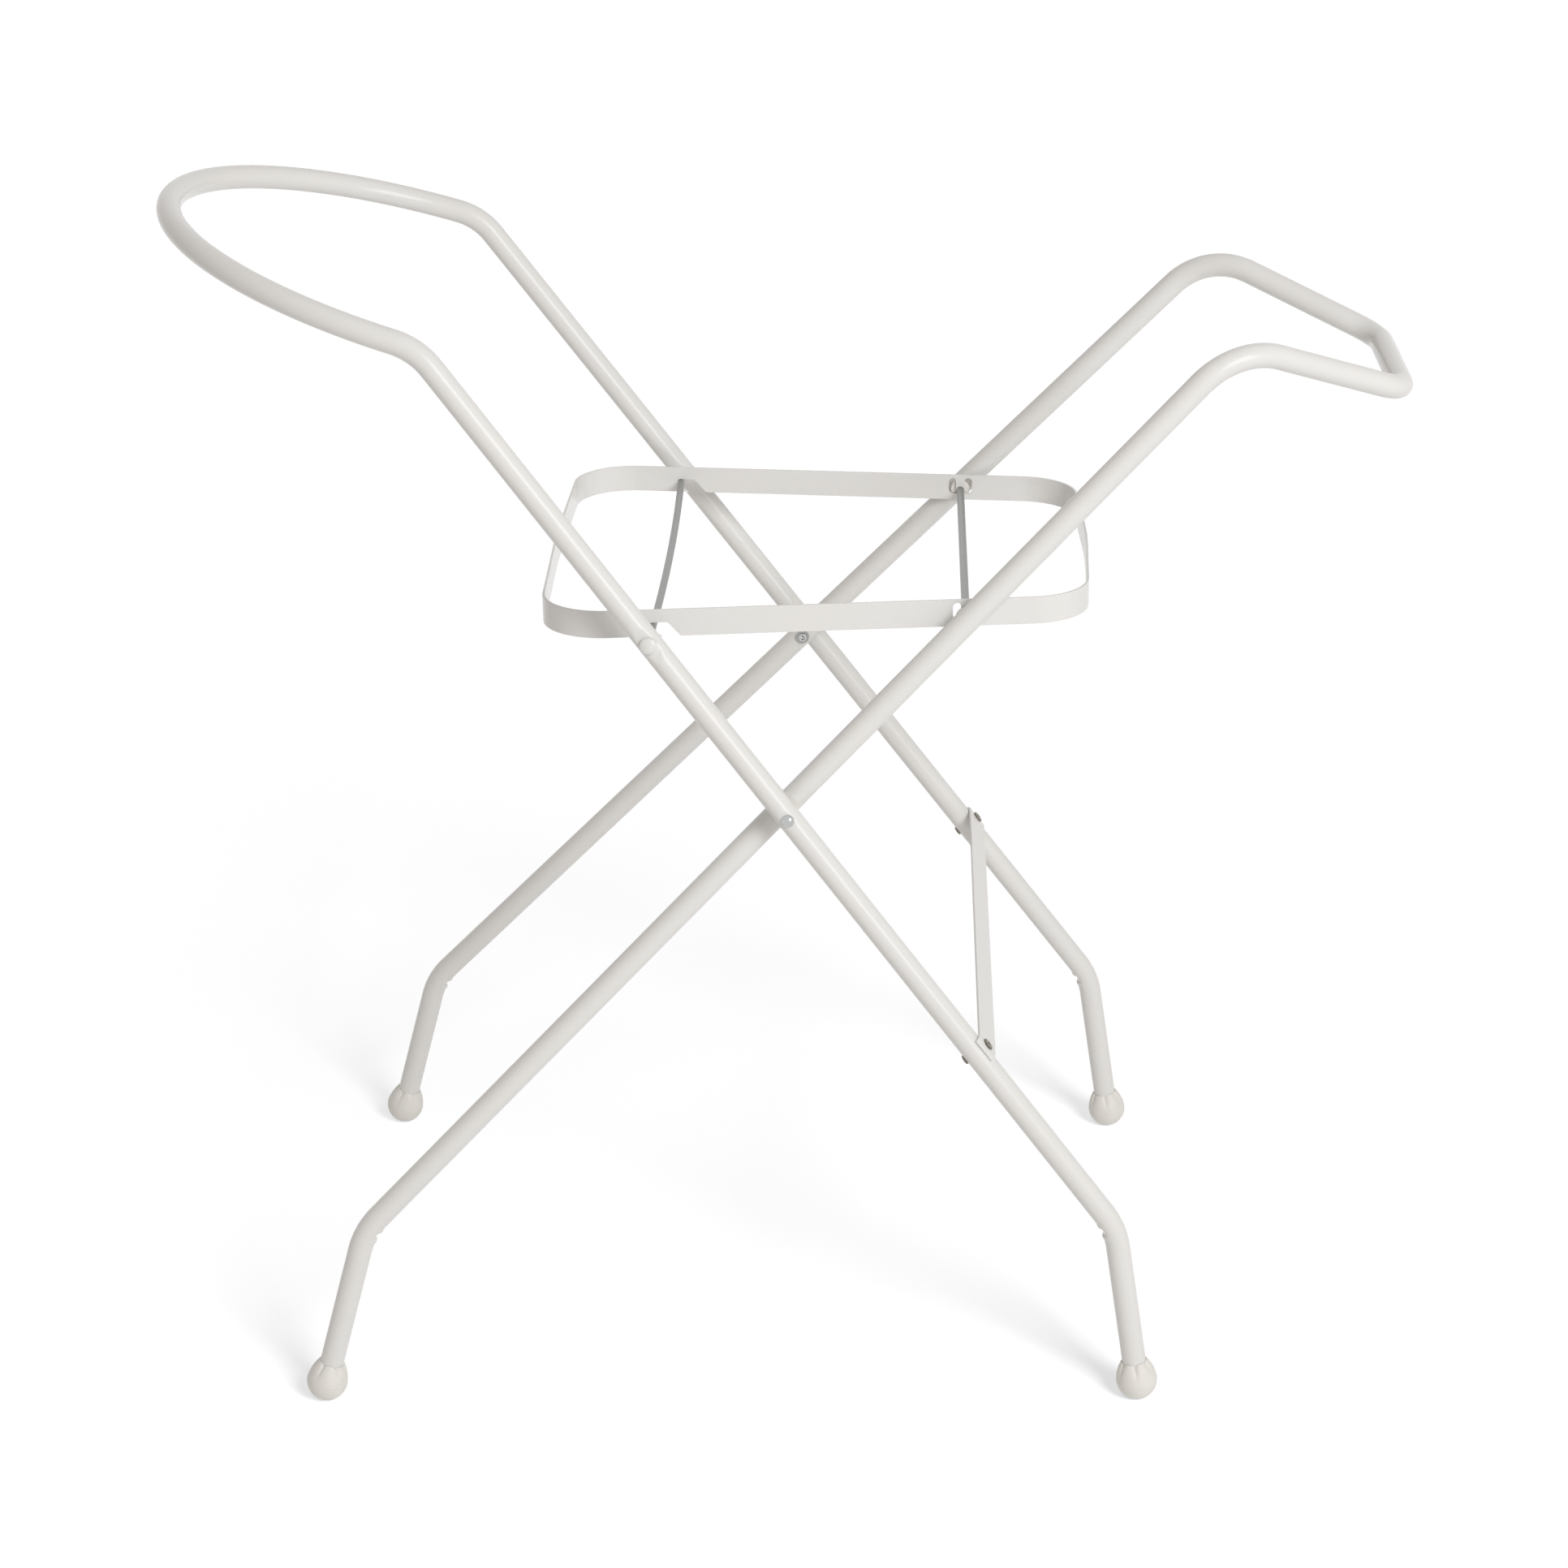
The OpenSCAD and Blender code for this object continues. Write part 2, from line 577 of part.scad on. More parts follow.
// ---- Feet --------------------------------------------------------------------------------------------
socket_r = tube_r + seat_gap;
flute_tilt = 23;                   // a flute's floor leans in towards the foot's mouth, in degrees
flute_run = 1.7;                   // length of a flute's cutter, against the upper part's
module foot_body() {               // an egg: round below its girth, drawn in to the mouth above it
    rise = foot_upper;
    drop = foot_r - foot_mouth_d / 2;
    side_r = (rise * rise + drop * drop) / (2 * drop);       // arc from the girth to the mouth
    sphere(r = foot_r);
    rotate_extrude() intersection() {
        translate([foot_r - side_r, 0]) circle(r = side_r, $fn = 180);
        square([foot_r, rise]);
    }
}
module foot(end, above, turn) {
    color(plastic) translate(pivot) difference() {
        along(end, above) difference() {
            foot_body();
            cylinder(r = socket_r, h = foot_upper + over);
            if (foot_flutes > 0) for (i = [0 : foot_flutes - 1])
                rotate([0, 0, turn + i * 360 / foot_flutes])
                    translate([foot_mouth_d / 2 + flute_d / 2 - flute_depth, 0, foot_upper])
                        rotate([0, -flute_tilt, 0])
                            cylinder(r = flute_d / 2, h = foot_upper * flute_run, center = true);
        }
        translate([end.x - foot_d, end.y - foot_d, -pivot_height - foot_d])
            cube([2 * foot_d, 2 * foot_d, foot_d]);
    }
}
function flipped(p) = [p.x, -p.y, p.z];

outer_tube();
foot(flipped(outer_end), flipped(outer_lower), outer_flute_turn);  // outer_foot_front
foot(outer_end, outer_lower, -outer_flute_turn);  // outer_foot_rear
latch_rod();
latch_cap(-1);  // latch_cap_front
latch_cap(1);  // latch_cap_rear
pivot_rivet(-1);  // pivot_rivet_front
pivot_rivet(1);  // pivot_rivet_rear
pivot_washer(-1);  // pivot_washer_front
pivot_washer(1);  // pivot_washer_rear
pivot_spacer(-1);  // pivot_spacer_front
pivot_spacer(1);  // pivot_spacer_rear
brace_strap();
brace_rivet(-1);  // brace_rivet_front
brace_rivet(1);  // brace_rivet_rear
inner_tube();
foot(flipped(inner_end), flipped(inner_lower), inner_flute_turn);  // inner_foot_front
foot(inner_end, inner_lower, -inner_flute_turn);  // inner_foot_rear
ring_rod();
ring_bush(-1);  // ring_bush_front
ring_bush(1);  // ring_bush_rear
lock_ring();
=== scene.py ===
"""A folding stand for a baby bath, dressed for its picture.

Two bent tube frames cross at a pivot. A flat steel ring between their upper legs swings on its own
rod and drops over a latch rod, a strap braces the lower legs, and moulded feet close the tube ends.
Lengths are written in millimetres and become metres. +Z is up, -Y faces the camera.
"""

import functools
import json
import math

import bmesh
import bpy
from mathutils import Matrix, Vector

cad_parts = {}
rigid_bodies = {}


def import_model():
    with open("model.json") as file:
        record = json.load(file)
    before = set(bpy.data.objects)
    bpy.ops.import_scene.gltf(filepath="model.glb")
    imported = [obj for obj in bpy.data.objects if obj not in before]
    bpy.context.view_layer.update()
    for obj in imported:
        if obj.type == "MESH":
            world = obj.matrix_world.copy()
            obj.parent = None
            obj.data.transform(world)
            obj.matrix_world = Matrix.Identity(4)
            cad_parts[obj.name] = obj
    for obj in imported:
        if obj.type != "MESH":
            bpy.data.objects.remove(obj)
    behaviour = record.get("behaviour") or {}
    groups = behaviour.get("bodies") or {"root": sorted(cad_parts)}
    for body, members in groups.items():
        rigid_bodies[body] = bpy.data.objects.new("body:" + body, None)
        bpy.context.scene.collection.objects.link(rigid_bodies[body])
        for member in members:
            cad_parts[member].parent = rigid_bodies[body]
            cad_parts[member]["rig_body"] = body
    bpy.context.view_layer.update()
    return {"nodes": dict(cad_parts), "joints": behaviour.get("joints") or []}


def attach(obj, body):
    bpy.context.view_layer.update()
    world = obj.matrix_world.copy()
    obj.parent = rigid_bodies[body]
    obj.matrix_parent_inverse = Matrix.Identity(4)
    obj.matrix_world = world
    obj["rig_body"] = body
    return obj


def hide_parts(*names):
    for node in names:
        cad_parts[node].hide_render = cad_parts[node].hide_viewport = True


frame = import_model()

bl_info = {
    "name": "Baby bath stand",
    "version": (1, 0, 0),
    "blender": (4, 5, 0),
    "location": "3D View > Sidebar > Bath Stand",
    "description": "Builds a folding tube stand for a baby bath, piece by piece",
    "category": "Add Mesh",
}

MM = 0.001
AXES = {joint["name"]: Vector(joint["pos_m"]) for joint in frame["joints"]}
PIVOT = AXES["fold"]
RING_AXLE = AXES["ring_swing"]
UP = Vector((0, 0, 1))
ALONG = Vector((1, 0, 0))
ACROSS = Vector((0, 1, 0))
SIDES = {"front": -1, "rear": 1}
MERGE_DIST = MM / 1000          # points that lie nearer than this are one point
MEET_DIST = MM / 100            # rows that lie nearer than this meet
GUARD = 1.5 * MM                # from a bend to the row that keeps a long stretch's shading even
FACETS = 64                     # round a small turned piece
FOOT_FACETS = 180               # round a foot, enough for its grooves


# ---- Sizes and colours that a user may change ----

def length(name, mm, description):
    return bpy.props.FloatProperty(
        name=name, description=description, default=mm * MM, min=0, precision=4, unit="LENGTH")


def angle(name, degrees, description):
    return bpy.props.FloatProperty(
        name=name, description=description, default=math.radians(degrees), unit="ROTATION")


def count(name, number, description):
    return bpy.props.IntProperty(name=name, description=description, default=number, min=3)


def share(name, value, description):
    return bpy.props.FloatProperty(
        name=name, description=description, default=value, min=0, max=1, subtype="FACTOR")


def linear(hex_colour):
    """An sRGB hex colour as linear red, green, blue and alpha."""
    channels = [int(hex_colour[i:i + 2], 16) / 255 for i in (1, 3, 5)]
    return [c / 12.92 if c <= 0.04045 else ((c + 0.055) / 1.055) ** 2.4 for c in channels] + [1]


def colour(name, hex_colour, description):
    return bpy.props.FloatVectorProperty(
        name=name, description=description, default=linear(hex_colour),
        size=4, min=0, max=1, subtype="COLOR")


class TubeSizes(bpy.types.PropertyGroup):
    """The tube that both frames are bent from."""
    diameter: length("Diameter", 20, "Outside diameter of the frame tube")
    wall: length("Wall", 1, "Wall of the frame tube")
    sides: count("Sides", 64, "Facets round a tube's skin")
    bend_step: angle("Bend step", 2.4, "Turn between two rows of a bend")
    fine_step: length("Fine step", 0.8, "Distance between rows where a tube is dented")


class OuterSizes(bpy.types.PropertyGroup):
    """The outer frame: round end loop, legs and shanks."""
    slope: angle("Slope", 53.6, "Slope of the legs from level")
    up: length("Leg up", 475, "Leg length from the pivot up to the upper bend")
    down: length("Leg down", 450, "Leg length from the pivot down to the lower bend")
    half: length("Half width", 245.4, "Distance from the middle to a leg's axis, at the pivot")
    splay: angle("Splay", 2, "How much the legs spread towards the floor")
    shank_lean: angle("Shank lean", 8.1, "Lean of the shanks from upright, seen from the side")
    shank_splay: angle("Shank splay", 0.8, "Outward lean of the shanks")
    loop_rise: angle("Loop rise", 17.5, "Rise of the end loop from level")
    loop_reach: length("Loop reach", 236, "Reach of the end loop past the upper bend")
    loop_converge: angle("Loop converge", 4, "Inward turn of the loop's sides")
    upper_bend: length("Upper bend", 58, "Centreline radius of the upper bends")
    lower_bend: length("Lower bend", 70, "Centreline radius of the lower bends")


class InnerSizes(bpy.types.PropertyGroup):
    """The inner frame: square end loop, legs and shanks."""
    slope: angle("Slope", 45.6, "Slope of the legs from level")
    up: length("Leg up", 508, "Leg length from the pivot up to the upper bend")
    down: length("Leg down", 512, "Leg length from the pivot down to the lower bend")
    half: length("Half width", 211.2, "Distance from the middle to a leg's axis, at the pivot")
    splay: angle("Splay", 7.5, "How much the legs spread towards the floor")
    shank_lean: angle("Shank lean", 15.5, "Lean of the shanks from upright, seen from the side")
    shank_splay: angle("Shank splay", 3.1, "Outward lean of the shanks")
    loop_fall: angle("Loop fall", 21.9, "Fall of the end loop from level")
    loop_reach: length("Loop reach", 151.7, "Reach of the end loop past the upper bend")
    loop_half: length("Loop half width", 87, "Half the width of the end loop, at its corners")
    corner_bend: length("Corner bend", 38, "Centreline radius of the end loop's corners")
    upper_bend: length("Upper bend", 62, "Centreline radius of the upper bends")
    lower_bend: length("Lower bend", 70, "Centreline radius of the lower bends")


class DentSizes(bpy.types.PropertyGroup):
    """Flats and creases that the press and the bending tool leave in the tubes."""
    cap_depth: length("Cap flat", 1.5, "Depth of the flat under a cap of the latch rod")
    cap_half: length("Cap flat half length", 7, "Half the length of that flat along the leg")
    cap_fade: length("Cap flat fade", 12, "Length in which that flat runs out")
    axle_depth: length("Axle flat", 1.7, "Depth of the flat where the ring's rod enters")
    axle_half: length("Axle flat half length", 4, "Half the length of that flat along the leg")
    axle_fade: length("Axle flat fade", 10, "Length in which that flat runs out")
    pivot_depth: length("Pivot flat", 0.7, "Depth of the flat under a pivot rivet's head")
    pivot_half: length("Pivot flat half length", 3, "Half the length of that flat along the leg")
    pivot_fade: length("Pivot flat fade", 8, "Length in which that flat runs out")
    crease_depth: length("Crease depth", 1.7, "Depth of the crease inside a lower bend")
    crease_half: length("Crease half length", 3.2, "Half the length of the crease")
    crease_lip: length("Crease lip", 0.6, "How far the lips at the crease's ends stand proud")
    crease_shift: length("Crease shift", 1.5, "How far the crease lies from mid bend, up the leg")


class FootSizes(bpy.types.PropertyGroup):
    """The moulded feet, seen along their shanks."""
    diameter: length("Diameter", 34.5, "Diameter at the girth")
    flat: length("Flat", 13, "Diameter of the flat that a foot stands on")
    upper: length("Upper part", 17.5, "Length of the petalled part above the girth")
    mouth: length("Mouth", 22.8, "Diameter of the mouth round the tube")
    belly: length("Belly", 2.5, "How far below the girth the upper part's arc is centred")
    play: length("Play", 0.05, "Gap between the socket and the tube")
    petals: count("Petals", 6, "Petals round the upper part")
    groove: length("Groove", 0.5, "Depth of the grooves between petals, at the mouth")
    crown: length("Crown", 0.8, "How far a petal's middle stands out from its edges")
    dip: length("Dip", 2.5, "How far the rim dips between two petals")
    crease: length("Mould crease", 0.16, "Depth of the mould's parting line at the girth")
    outer_turn: angle("Outer turn", 36, "Turn of the outer feet's grooves round the shank")
    inner_turn: angle("Inner turn", 47, "Turn of the inner feet's grooves round the shank")


class RingSizes(bpy.types.PropertyGroup):
    """The lock ring, its own rod and its bushes."""
    height: length("Height", 22.5, "Height of the flat band")
    thickness: length("Thickness", 2, "Thickness of the band")
    rod_s: length("Rod place", 204, "Leg length from the pivot to the ring's rod")
    inner_gap: length("Inner gap", 5.3, "Gap between the ring and the inner tubes, at its rod")
    outer_gap: length("Outer gap", 27.6, "Gap between the ring and the outer tubes, at the latch")
    left_reach: length("Left reach", 90.8, "Length of the ring past the latch rod")
    right_reach: length("Right reach", 99.3, "Length of the ring past its own rod")
    left_bow: length("Left bow", 4.2, "Outward bow of the left end")
    right_bow: length("Right bow", 6, "Outward bow of the right end")
    left_corner: length("Left corner", 50, "Outside radius of the left corners")
    right_corner: length("Right corner", 52, "Outside radius of the right corners")
    rod_rise: length("Rod rise", 8.4, "Height of both rods above the band's lower edge")
    rod_d: length("Rod diameter", 6.6, "Diameter of the ring's rod")
    window_w: length("Window width", 20.6, "Width of the window round the ring's rod")
    window_h: length("Window height", 14.2, "Height of that window")
    window_corner: length("Window corner", 3.4, "Radius of the window's corners")
    window_scoop: length("Window scoop", 0.4, "Depth of the rod's scoop in the lower edge")
    tab_w: length("Tab width", 8, "Width of the tab that hangs over the rod")
    bush_d: length("Bush diameter", 16.5, "Diameter of the bushes on the ring's rod")
    rod_play: length("Rod play", 0.08, "Radial clearance of the rod in the ring")
    edge: length("Edge", 0.4, "Rounding of the band's edges")


class LatchSizes(bpy.types.PropertyGroup):
    """The latch rod, its painted caps and the ring's notch over it."""
    rod_s: length("Rod place", 182, "Leg length from the pivot to the latch rod")
    rod_d: length("Rod diameter", 6, "Diameter of the latch rod")
    bow: length("Bow", 3.2, "Sideways bow of the rod at its middle")
    kink_inset: length("Kink inset", 4, "Where the rod leaves its straight end, inside the tube")
    cap_d: length("Cap diameter", 14.2, "Diameter of the caps over the rod's ends")
    cap_h: length("Cap height", 3.6, "Height of the caps above the tube")
    cap_rim: length("Cap rim", 1.4, "Height of a cap's upright edge")
    notch_gap: length("Notch gap", 0.35, "Gap between the notch and the rod")
    notch_flat: length("Notch flat", 11.8, "Level length of the notch, past the rod")
    notch_slant: length("Notch slant", 10.5, "Length that the notch's slanted side takes")
    tongue: length("Tongue", 7, "Length of the tongue under the rod")


class FixingSizes(bpy.types.PropertyGroup):
    """Rivets and washers at the pivots and the brace."""
    pivot_d: length("Pivot diameter", 6, "Diameter of a pivot rivet's shank")
    pivot_head_d: length("Pivot head", 10.4, "Diameter of a pivot rivet's domed head")
    pivot_head_h: length("Pivot head height", 3, "Height of the domed head")
    pivot_tail: length("Pivot tail", 1.6, "What the hollow end stands proud of its washer")
    pivot_flare: length("Pivot flare", 0.7, "How far the hollow end is rolled outwards")
    washer_d: length("Washer diameter", 11.6, "Diameter of the washers")
    washer_t: length("Washer thickness", 1, "Thickness of the washers")
    free_gap: length("Free gap", 0.35, "Gap between a washer and the tube that turns under it")
    brace_d: length("Brace rivet", 5, "Diameter of a brace rivet's shank")
    brace_head_d: length("Brace rivet head", 10.4, "Diameter of a brace rivet's rolled head")
    brace_head_t: length("Brace head thickness", 1.4, "Thickness of that head")
    brace_bore: length("Brace rivet bore", 3, "Bore of the hollow brace rivets")


class BraceSizes(bpy.types.PropertyGroup):
    """The strap across the outer frame's lower legs."""
    place: length("Place", 254, "Leg length from the pivot down to the strap")
    width: length("Width", 22, "Width of the strap")
    thickness: length("Thickness", 2, "Thickness of the strap")
    gap: length("Gap", 0.3, "Gap between strap and tube")
    wrap: angle("Wrap", 46, "How far the ends curve down over the tubes")
    edge: length("Edge", 0.45, "Rounding of the strap's edges")


class Finishes(bpy.types.PropertyGroup):
    """The colours of the finishes."""
    paint: colour("Paint", "#E4E5E4", "Off-white powder coat of the frames, ring and strap")
    paint_warm: colour("Paint, warmer", "#E4E4E2", "The same coat where it is a little thicker")
    foot: colour("Feet", "#E6E5E1", "Moulded soft plastic of the feet")
    trim: colour("Trim", "#E6E4DE", "Hard plastic of the bushes and spacers")
    zinc: colour("Zinc", "#A0A19F", "Zinc plating of rods and washers")
    nickel: colour("Nickel", "#BDBFBE", "Bright plating of the pivot rivets")
    bronze: colour("Bronze", "#7A7268", "Darkened steel of the brace rivets")


def watts(name, power, description):
    return bpy.props.FloatProperty(
        name=name, description=description, default=power, min=0, unit="POWER")


def lengths(name, metres, description):
    return bpy.props.FloatVectorProperty(
        name=name, description=description, default=metres, size=len(metres), unit="LENGTH")


class StageSettings(bpy.types.PropertyGroup):
    """Floor, lamps and camera."""
    floor_radius: length("Floor radius", 40000, "Radius of the floor")
    floor_level: bpy.props.FloatProperty(
        name="Floor level", description="What the camera sees of the floor where no shadow lies",
        default=1.03, min=0)
    floor_colour: colour("Floor", "#F9F9F9", "Matt white of the floor")
    fill: share("Fill", 0.41, "Strength of the even light from all round")
    fill_colour: colour("Fill colour", "#FFF6EE", "Colour of the even light")
    aim: lengths("Aim", (0, 0, 0.3), "What the lamps point at")
    key: watts("Key", 155, "Power of the tall lamp at the front right")
    key_place: lengths("Key place", (2.38, -3.95, 3.3), "Where the tall lamp stands")
    key_size: lengths("Key size", (1.5, 2.6), "Width and height of the tall lamp")
    card: watts("Card", 48, "Power of the card at the front right that only gloss shows")
    card_place: lengths("Card place", (2.76, -3.8, 2.0), "Where the card stands")
    card_size: lengths("Card size", (1.9, 2.6), "Width and height of the card")


GROUPS = {
    "tube": TubeSizes, "outer": OuterSizes, "inner": InnerSizes, "dents": DentSizes,
    "feet": FootSizes, "ring": RingSizes, "latch": LatchSizes, "fixings": FixingSizes,
    "brace": BraceSizes, "finishes": Finishes, "stage": StageSettings,
}


class BathStand(bpy.types.PropertyGroup):
    """All sizes and colours of the stand."""
    __annotations__ = {
        name: bpy.props.PointerProperty(type=group) for name, group in GROUPS.items()}


def stand():
    return bpy.context.scene.bath_stand


# ---- Rows of edges, carried along a path ----

def verts_in(geometry):
    return [item for item in geometry if isinstance(item, bmesh.types.BMVert)]


def edges_in(geometry):
    return [item for item in geometry if isinstance(item, bmesh.types.BMEdge)]


def facing(origin, way, flat=ACROSS):
    """A place whose Z runs along a direction and whose X lies as near to flat as it can."""
    z = way.normalized()
    x = (flat - z * flat.dot(z)).normalized()
    return Matrix.Translation(origin) @ Matrix((x, z.cross(x), z)).transposed().to_4x4()


def sideways(point, side):
    """A place at a point, whose Z runs out to the stand's front (side -1) or rear (side 1)."""
    return Matrix.Translation(point) @ Matrix.Rotation(-side * math.pi / 2, 4, "X")


def everything(bm):
    return bm.verts[:] + bm.edges[:] + bm.faces[:]


def mirror_across(bm):
    """Adds the other half, mirrored across the middle plane, and turns all faces outward."""
    bmesh.ops.mirror(bm, geom=everything(bm), axis="Y", merge_dist=MERGE_DIST)
    bmesh.ops.recalc_face_normals(bm, faces=bm.faces)


def hoop(bm, radius, sides, place):
    """A circle of edges at a place, across its Z."""
    made = bmesh.ops.create_circle(bm, cap_ends=False, radius=radius, segments=sides, matrix=place)
    return list({edge for vert in made["verts"] for edge in vert.link_edges})


def carry(bm, row, move):
    """Pulls a row of edges straight on, and returns the new row."""
    made = bmesh.ops.extrude_edge_only(bm, edges=row)["geom"]
    bmesh.ops.translate(bm, vec=move, verts=verts_in(made))
    return edges_in(made)


def turn_row(bm, row, centre, axis, turn, steps):
    """Turns a row of edges about an axis, and returns the new row."""
    made = bmesh.ops.spin(
        bm, geom=row, cent=centre, axis=axis, angle=turn, steps=steps, use_merge=False)
    return edges_in(made["geom_last"])


class Bend:
    """A round bend of a given radius where a path turns at a corner."""

    def __init__(self, before, corner, after, radius):
        arrive = (corner - before).normalized()
        leave = (after - corner).normalized()
        self.radius = radius
        self.turn = arrive.angle(leave)
        self.trim = radius * math.tan(self.turn / 2)
        self.axis = arrive.cross(leave).normalized()
        self.start = corner - arrive * self.trim
        self.end = corner + leave * self.trim
        self.centre = self.start + self.axis.cross(arrive) * radius
        middle = self.centre - corner
        self.inward = (middle - self.axis * middle.dot(self.axis)).normalized()


def bends_of(points, radii):
    """The bends at a path's inner corners."""
    return [Bend(*points[i:i + 3], radii[i]) for i in range(len(points) - 2)]


def sweep(bm, row, points, bends, step, marks=None):
    """Carries a row of edges along a path's straight stretches and bends.

    marks gives, for a stretch's number, the distances from its first corner where it needs a row.
    """
    for i in range(len(points) - 1):
        start = bends[i - 1].end if i > 0 else points[0]
        end = bends[i].start if i < len(bends) else points[-1]
        run = (end - start).length
        way = (points[i + 1] - points[i]).normalized()
        if run > MEET_DIST:
            skipped = (start - points[i]).length
            stops = [mark - skipped for mark in (marks or {}).get(i, [])]
            stops += [GUARD, run - GUARD] if run > 3 * GUARD else []
            done = 0
            for stop in sorted(stop for stop in stops if 0 < stop < run) + [run]:
                row = carry(bm, row, way * (stop - done))
                done = stop
        if i < len(bends):
            bend = bends[i]
            steps = max(2, math.ceil(bend.turn / step))
            row = turn_row(bm, row, bend.centre, bend.axis, bend.turn, steps)
    return row


def fine_rows(middle, half, step):
    """Distances of close rows on both sides of a place."""
    rows = math.ceil(half / step)
    return [middle + half * i / rows for i in range(-rows, rows + 1)]


def arc(centre, radius, first, last, steps):
    """Points of a flat arc, from one angle in degrees to another."""
    turns = [math.radians(first + (last - first) * i / steps) for i in range(steps + 1)]
    return [(centre[0] + radius * math.cos(t), centre[1] + radius * math.sin(t)) for t in turns]


def turned(outline, steps, place):
    """A solid of revolution: the outline's points are distance from Z and height along it."""
    bm = bmesh.new()
    verts = [bm.verts.new((r, 0, z)) for r, z in outline]
    for one, other in zip(verts, verts[1:]):
        bm.edges.new((one, other))
    if outline[0][0] > 0:
        bm.edges.new((verts[-1], verts[0]))
    bmesh.ops.spin(
        bm, geom=bm.edges[:], cent=(0, 0, 0), axis=(0, 0, 1), angle=math.tau, steps=steps,
        use_merge=True)
    bmesh.ops.remove_doubles(bm, verts=bm.verts, dist=MERGE_DIST)
    bmesh.ops.recalc_face_normals(bm, faces=bm.faces)
    bmesh.ops.transform(bm, matrix=place, verts=bm.verts)
    return bm


def prism(outline, depth):
    """A flat outline in X and Z, drawn out along Y by depth to both sides."""
    bm = bmesh.new()
    face = bm.faces.new([bm.verts.new((x, -depth, z)) for x, z in outline])
    made = bmesh.ops.extrude_face_region(bm, geom=[face])["geom"]
    bmesh.ops.translate(bm, vec=ACROSS * 2 * depth, verts=verts_in(made))
    bmesh.ops.recalc_face_normals(bm, faces=bm.faces)
    return bm


def bar(radius, sides, start, end, chamfer):
    """A round bar with chamfered ends."""
    run = (end - start).length
    outline = [
        (0, 0), (radius - chamfer, 0), (radius, chamfer),
        (radius, run - chamfer), (radius - chamfer, run), (0, run)]
    return turned(outline, sides, facing(start, end - start, UP))


# ---- Pieces ----

def object_from(name, bm):
    mesh = bpy.data.meshes.new(name)
    bm.to_mesh(mesh)
    bm.free()
    made = bpy.data.objects.new(name, mesh)
    bpy.context.scene.collection.objects.link(made)
    return made


def sheet(name, bm, thickness, offset):
    """A bent sheet: a surface with a Solidify for its thickness."""
    made = object_from(name, bm)
    wall = made.modifiers.new("Wall", "SOLIDIFY")
    wall.thickness = thickness
    wall.offset = offset
    return made


def cut_away(obj, *cutters):
    """Gives obj a Boolean for each cutter."""
    for cutter in cutters:
        cutter.hide_render = True
        cut = obj.modifiers.new("Cut", "BOOLEAN")
        cut.operation = "DIFFERENCE"
        cut.solver = "EXACT"
        cut.object = cutter


def rounded(obj, width, segments=3):
    """Gives obj a Bevel on its sharp edges."""
    bevel = obj.modifiers.new("Edges", "BEVEL")
    bevel.width = width
    bevel.segments = segments
    bevel.limit_method = "ANGLE"
    bevel.angle_limit = math.radians(40)
    bevel.harden_normals = True


def settle(obj, *helpers):
    """Turns obj's modifiers into mesh, and removes the helpers that they used."""
    obj.data.shade_smooth()
    graph = bpy.context.evaluated_depsgraph_get()
    mesh = bpy.data.meshes.new_from_object(obj.evaluated_get(graph), depsgraph=graph)
    obj.modifiers.clear()
    old, obj.data = obj.data, mesh
    bpy.data.meshes.remove(old)
    for helper in helpers:
        old = helper.data
        bpy.data.objects.remove(helper)
        bpy.data.meshes.remove(old)


def stand_for(obj, node, finish, sharp=math.radians(35)):
    """obj takes a CAD node's place, body and slot, and gets its finish."""
    if sharp is not None:
        obj.data.shade_smooth()
        obj.data.set_sharp_from_angle(angle=sharp)
    obj.data.materials.clear()
    obj.data.materials.append(finish)
    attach(obj, frame["nodes"][node]["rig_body"])
    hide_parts(node)
    return obj


def turned_piece(name, node, outline, place, finish, facets=FACETS, **how):
    """A turned piece that takes a CAD node's place."""
    made = object_from(name, turned(outline, facets, place))
    return stand_for(made, node, finish_of(finish), **how)


def repaint(node, finish):
    """A CAD node that stays gets its finish."""
    mesh = frame["nodes"][node].data
    mesh.materials.clear()
    mesh.materials.append(finish)


# ---- Finishes ----

def add(tree, kind, inputs=None, **settings):
    """Adds a node with its settings; each input takes a value or a link from a socket."""
    made = tree.nodes.new(kind)
    for name, value in settings.items():
        setattr(made, name, value)
    for name, value in (inputs or {}).items():
        if isinstance(value, bpy.types.NodeSocket):
            tree.links.new(value, made.inputs[name])
        else:
            made.inputs[name].default_value = value
    return made


def new_finish(name):
    """An empty material and its nodes."""
    material = bpy.data.materials.new(name)
    material.use_nodes = True
    tree = material.node_tree
    tree.nodes.clear()
    return material, tree


def per_metre(mm):
    """The texture scale at which one cell is that many millimetres."""
    return 1 / (mm * MM)


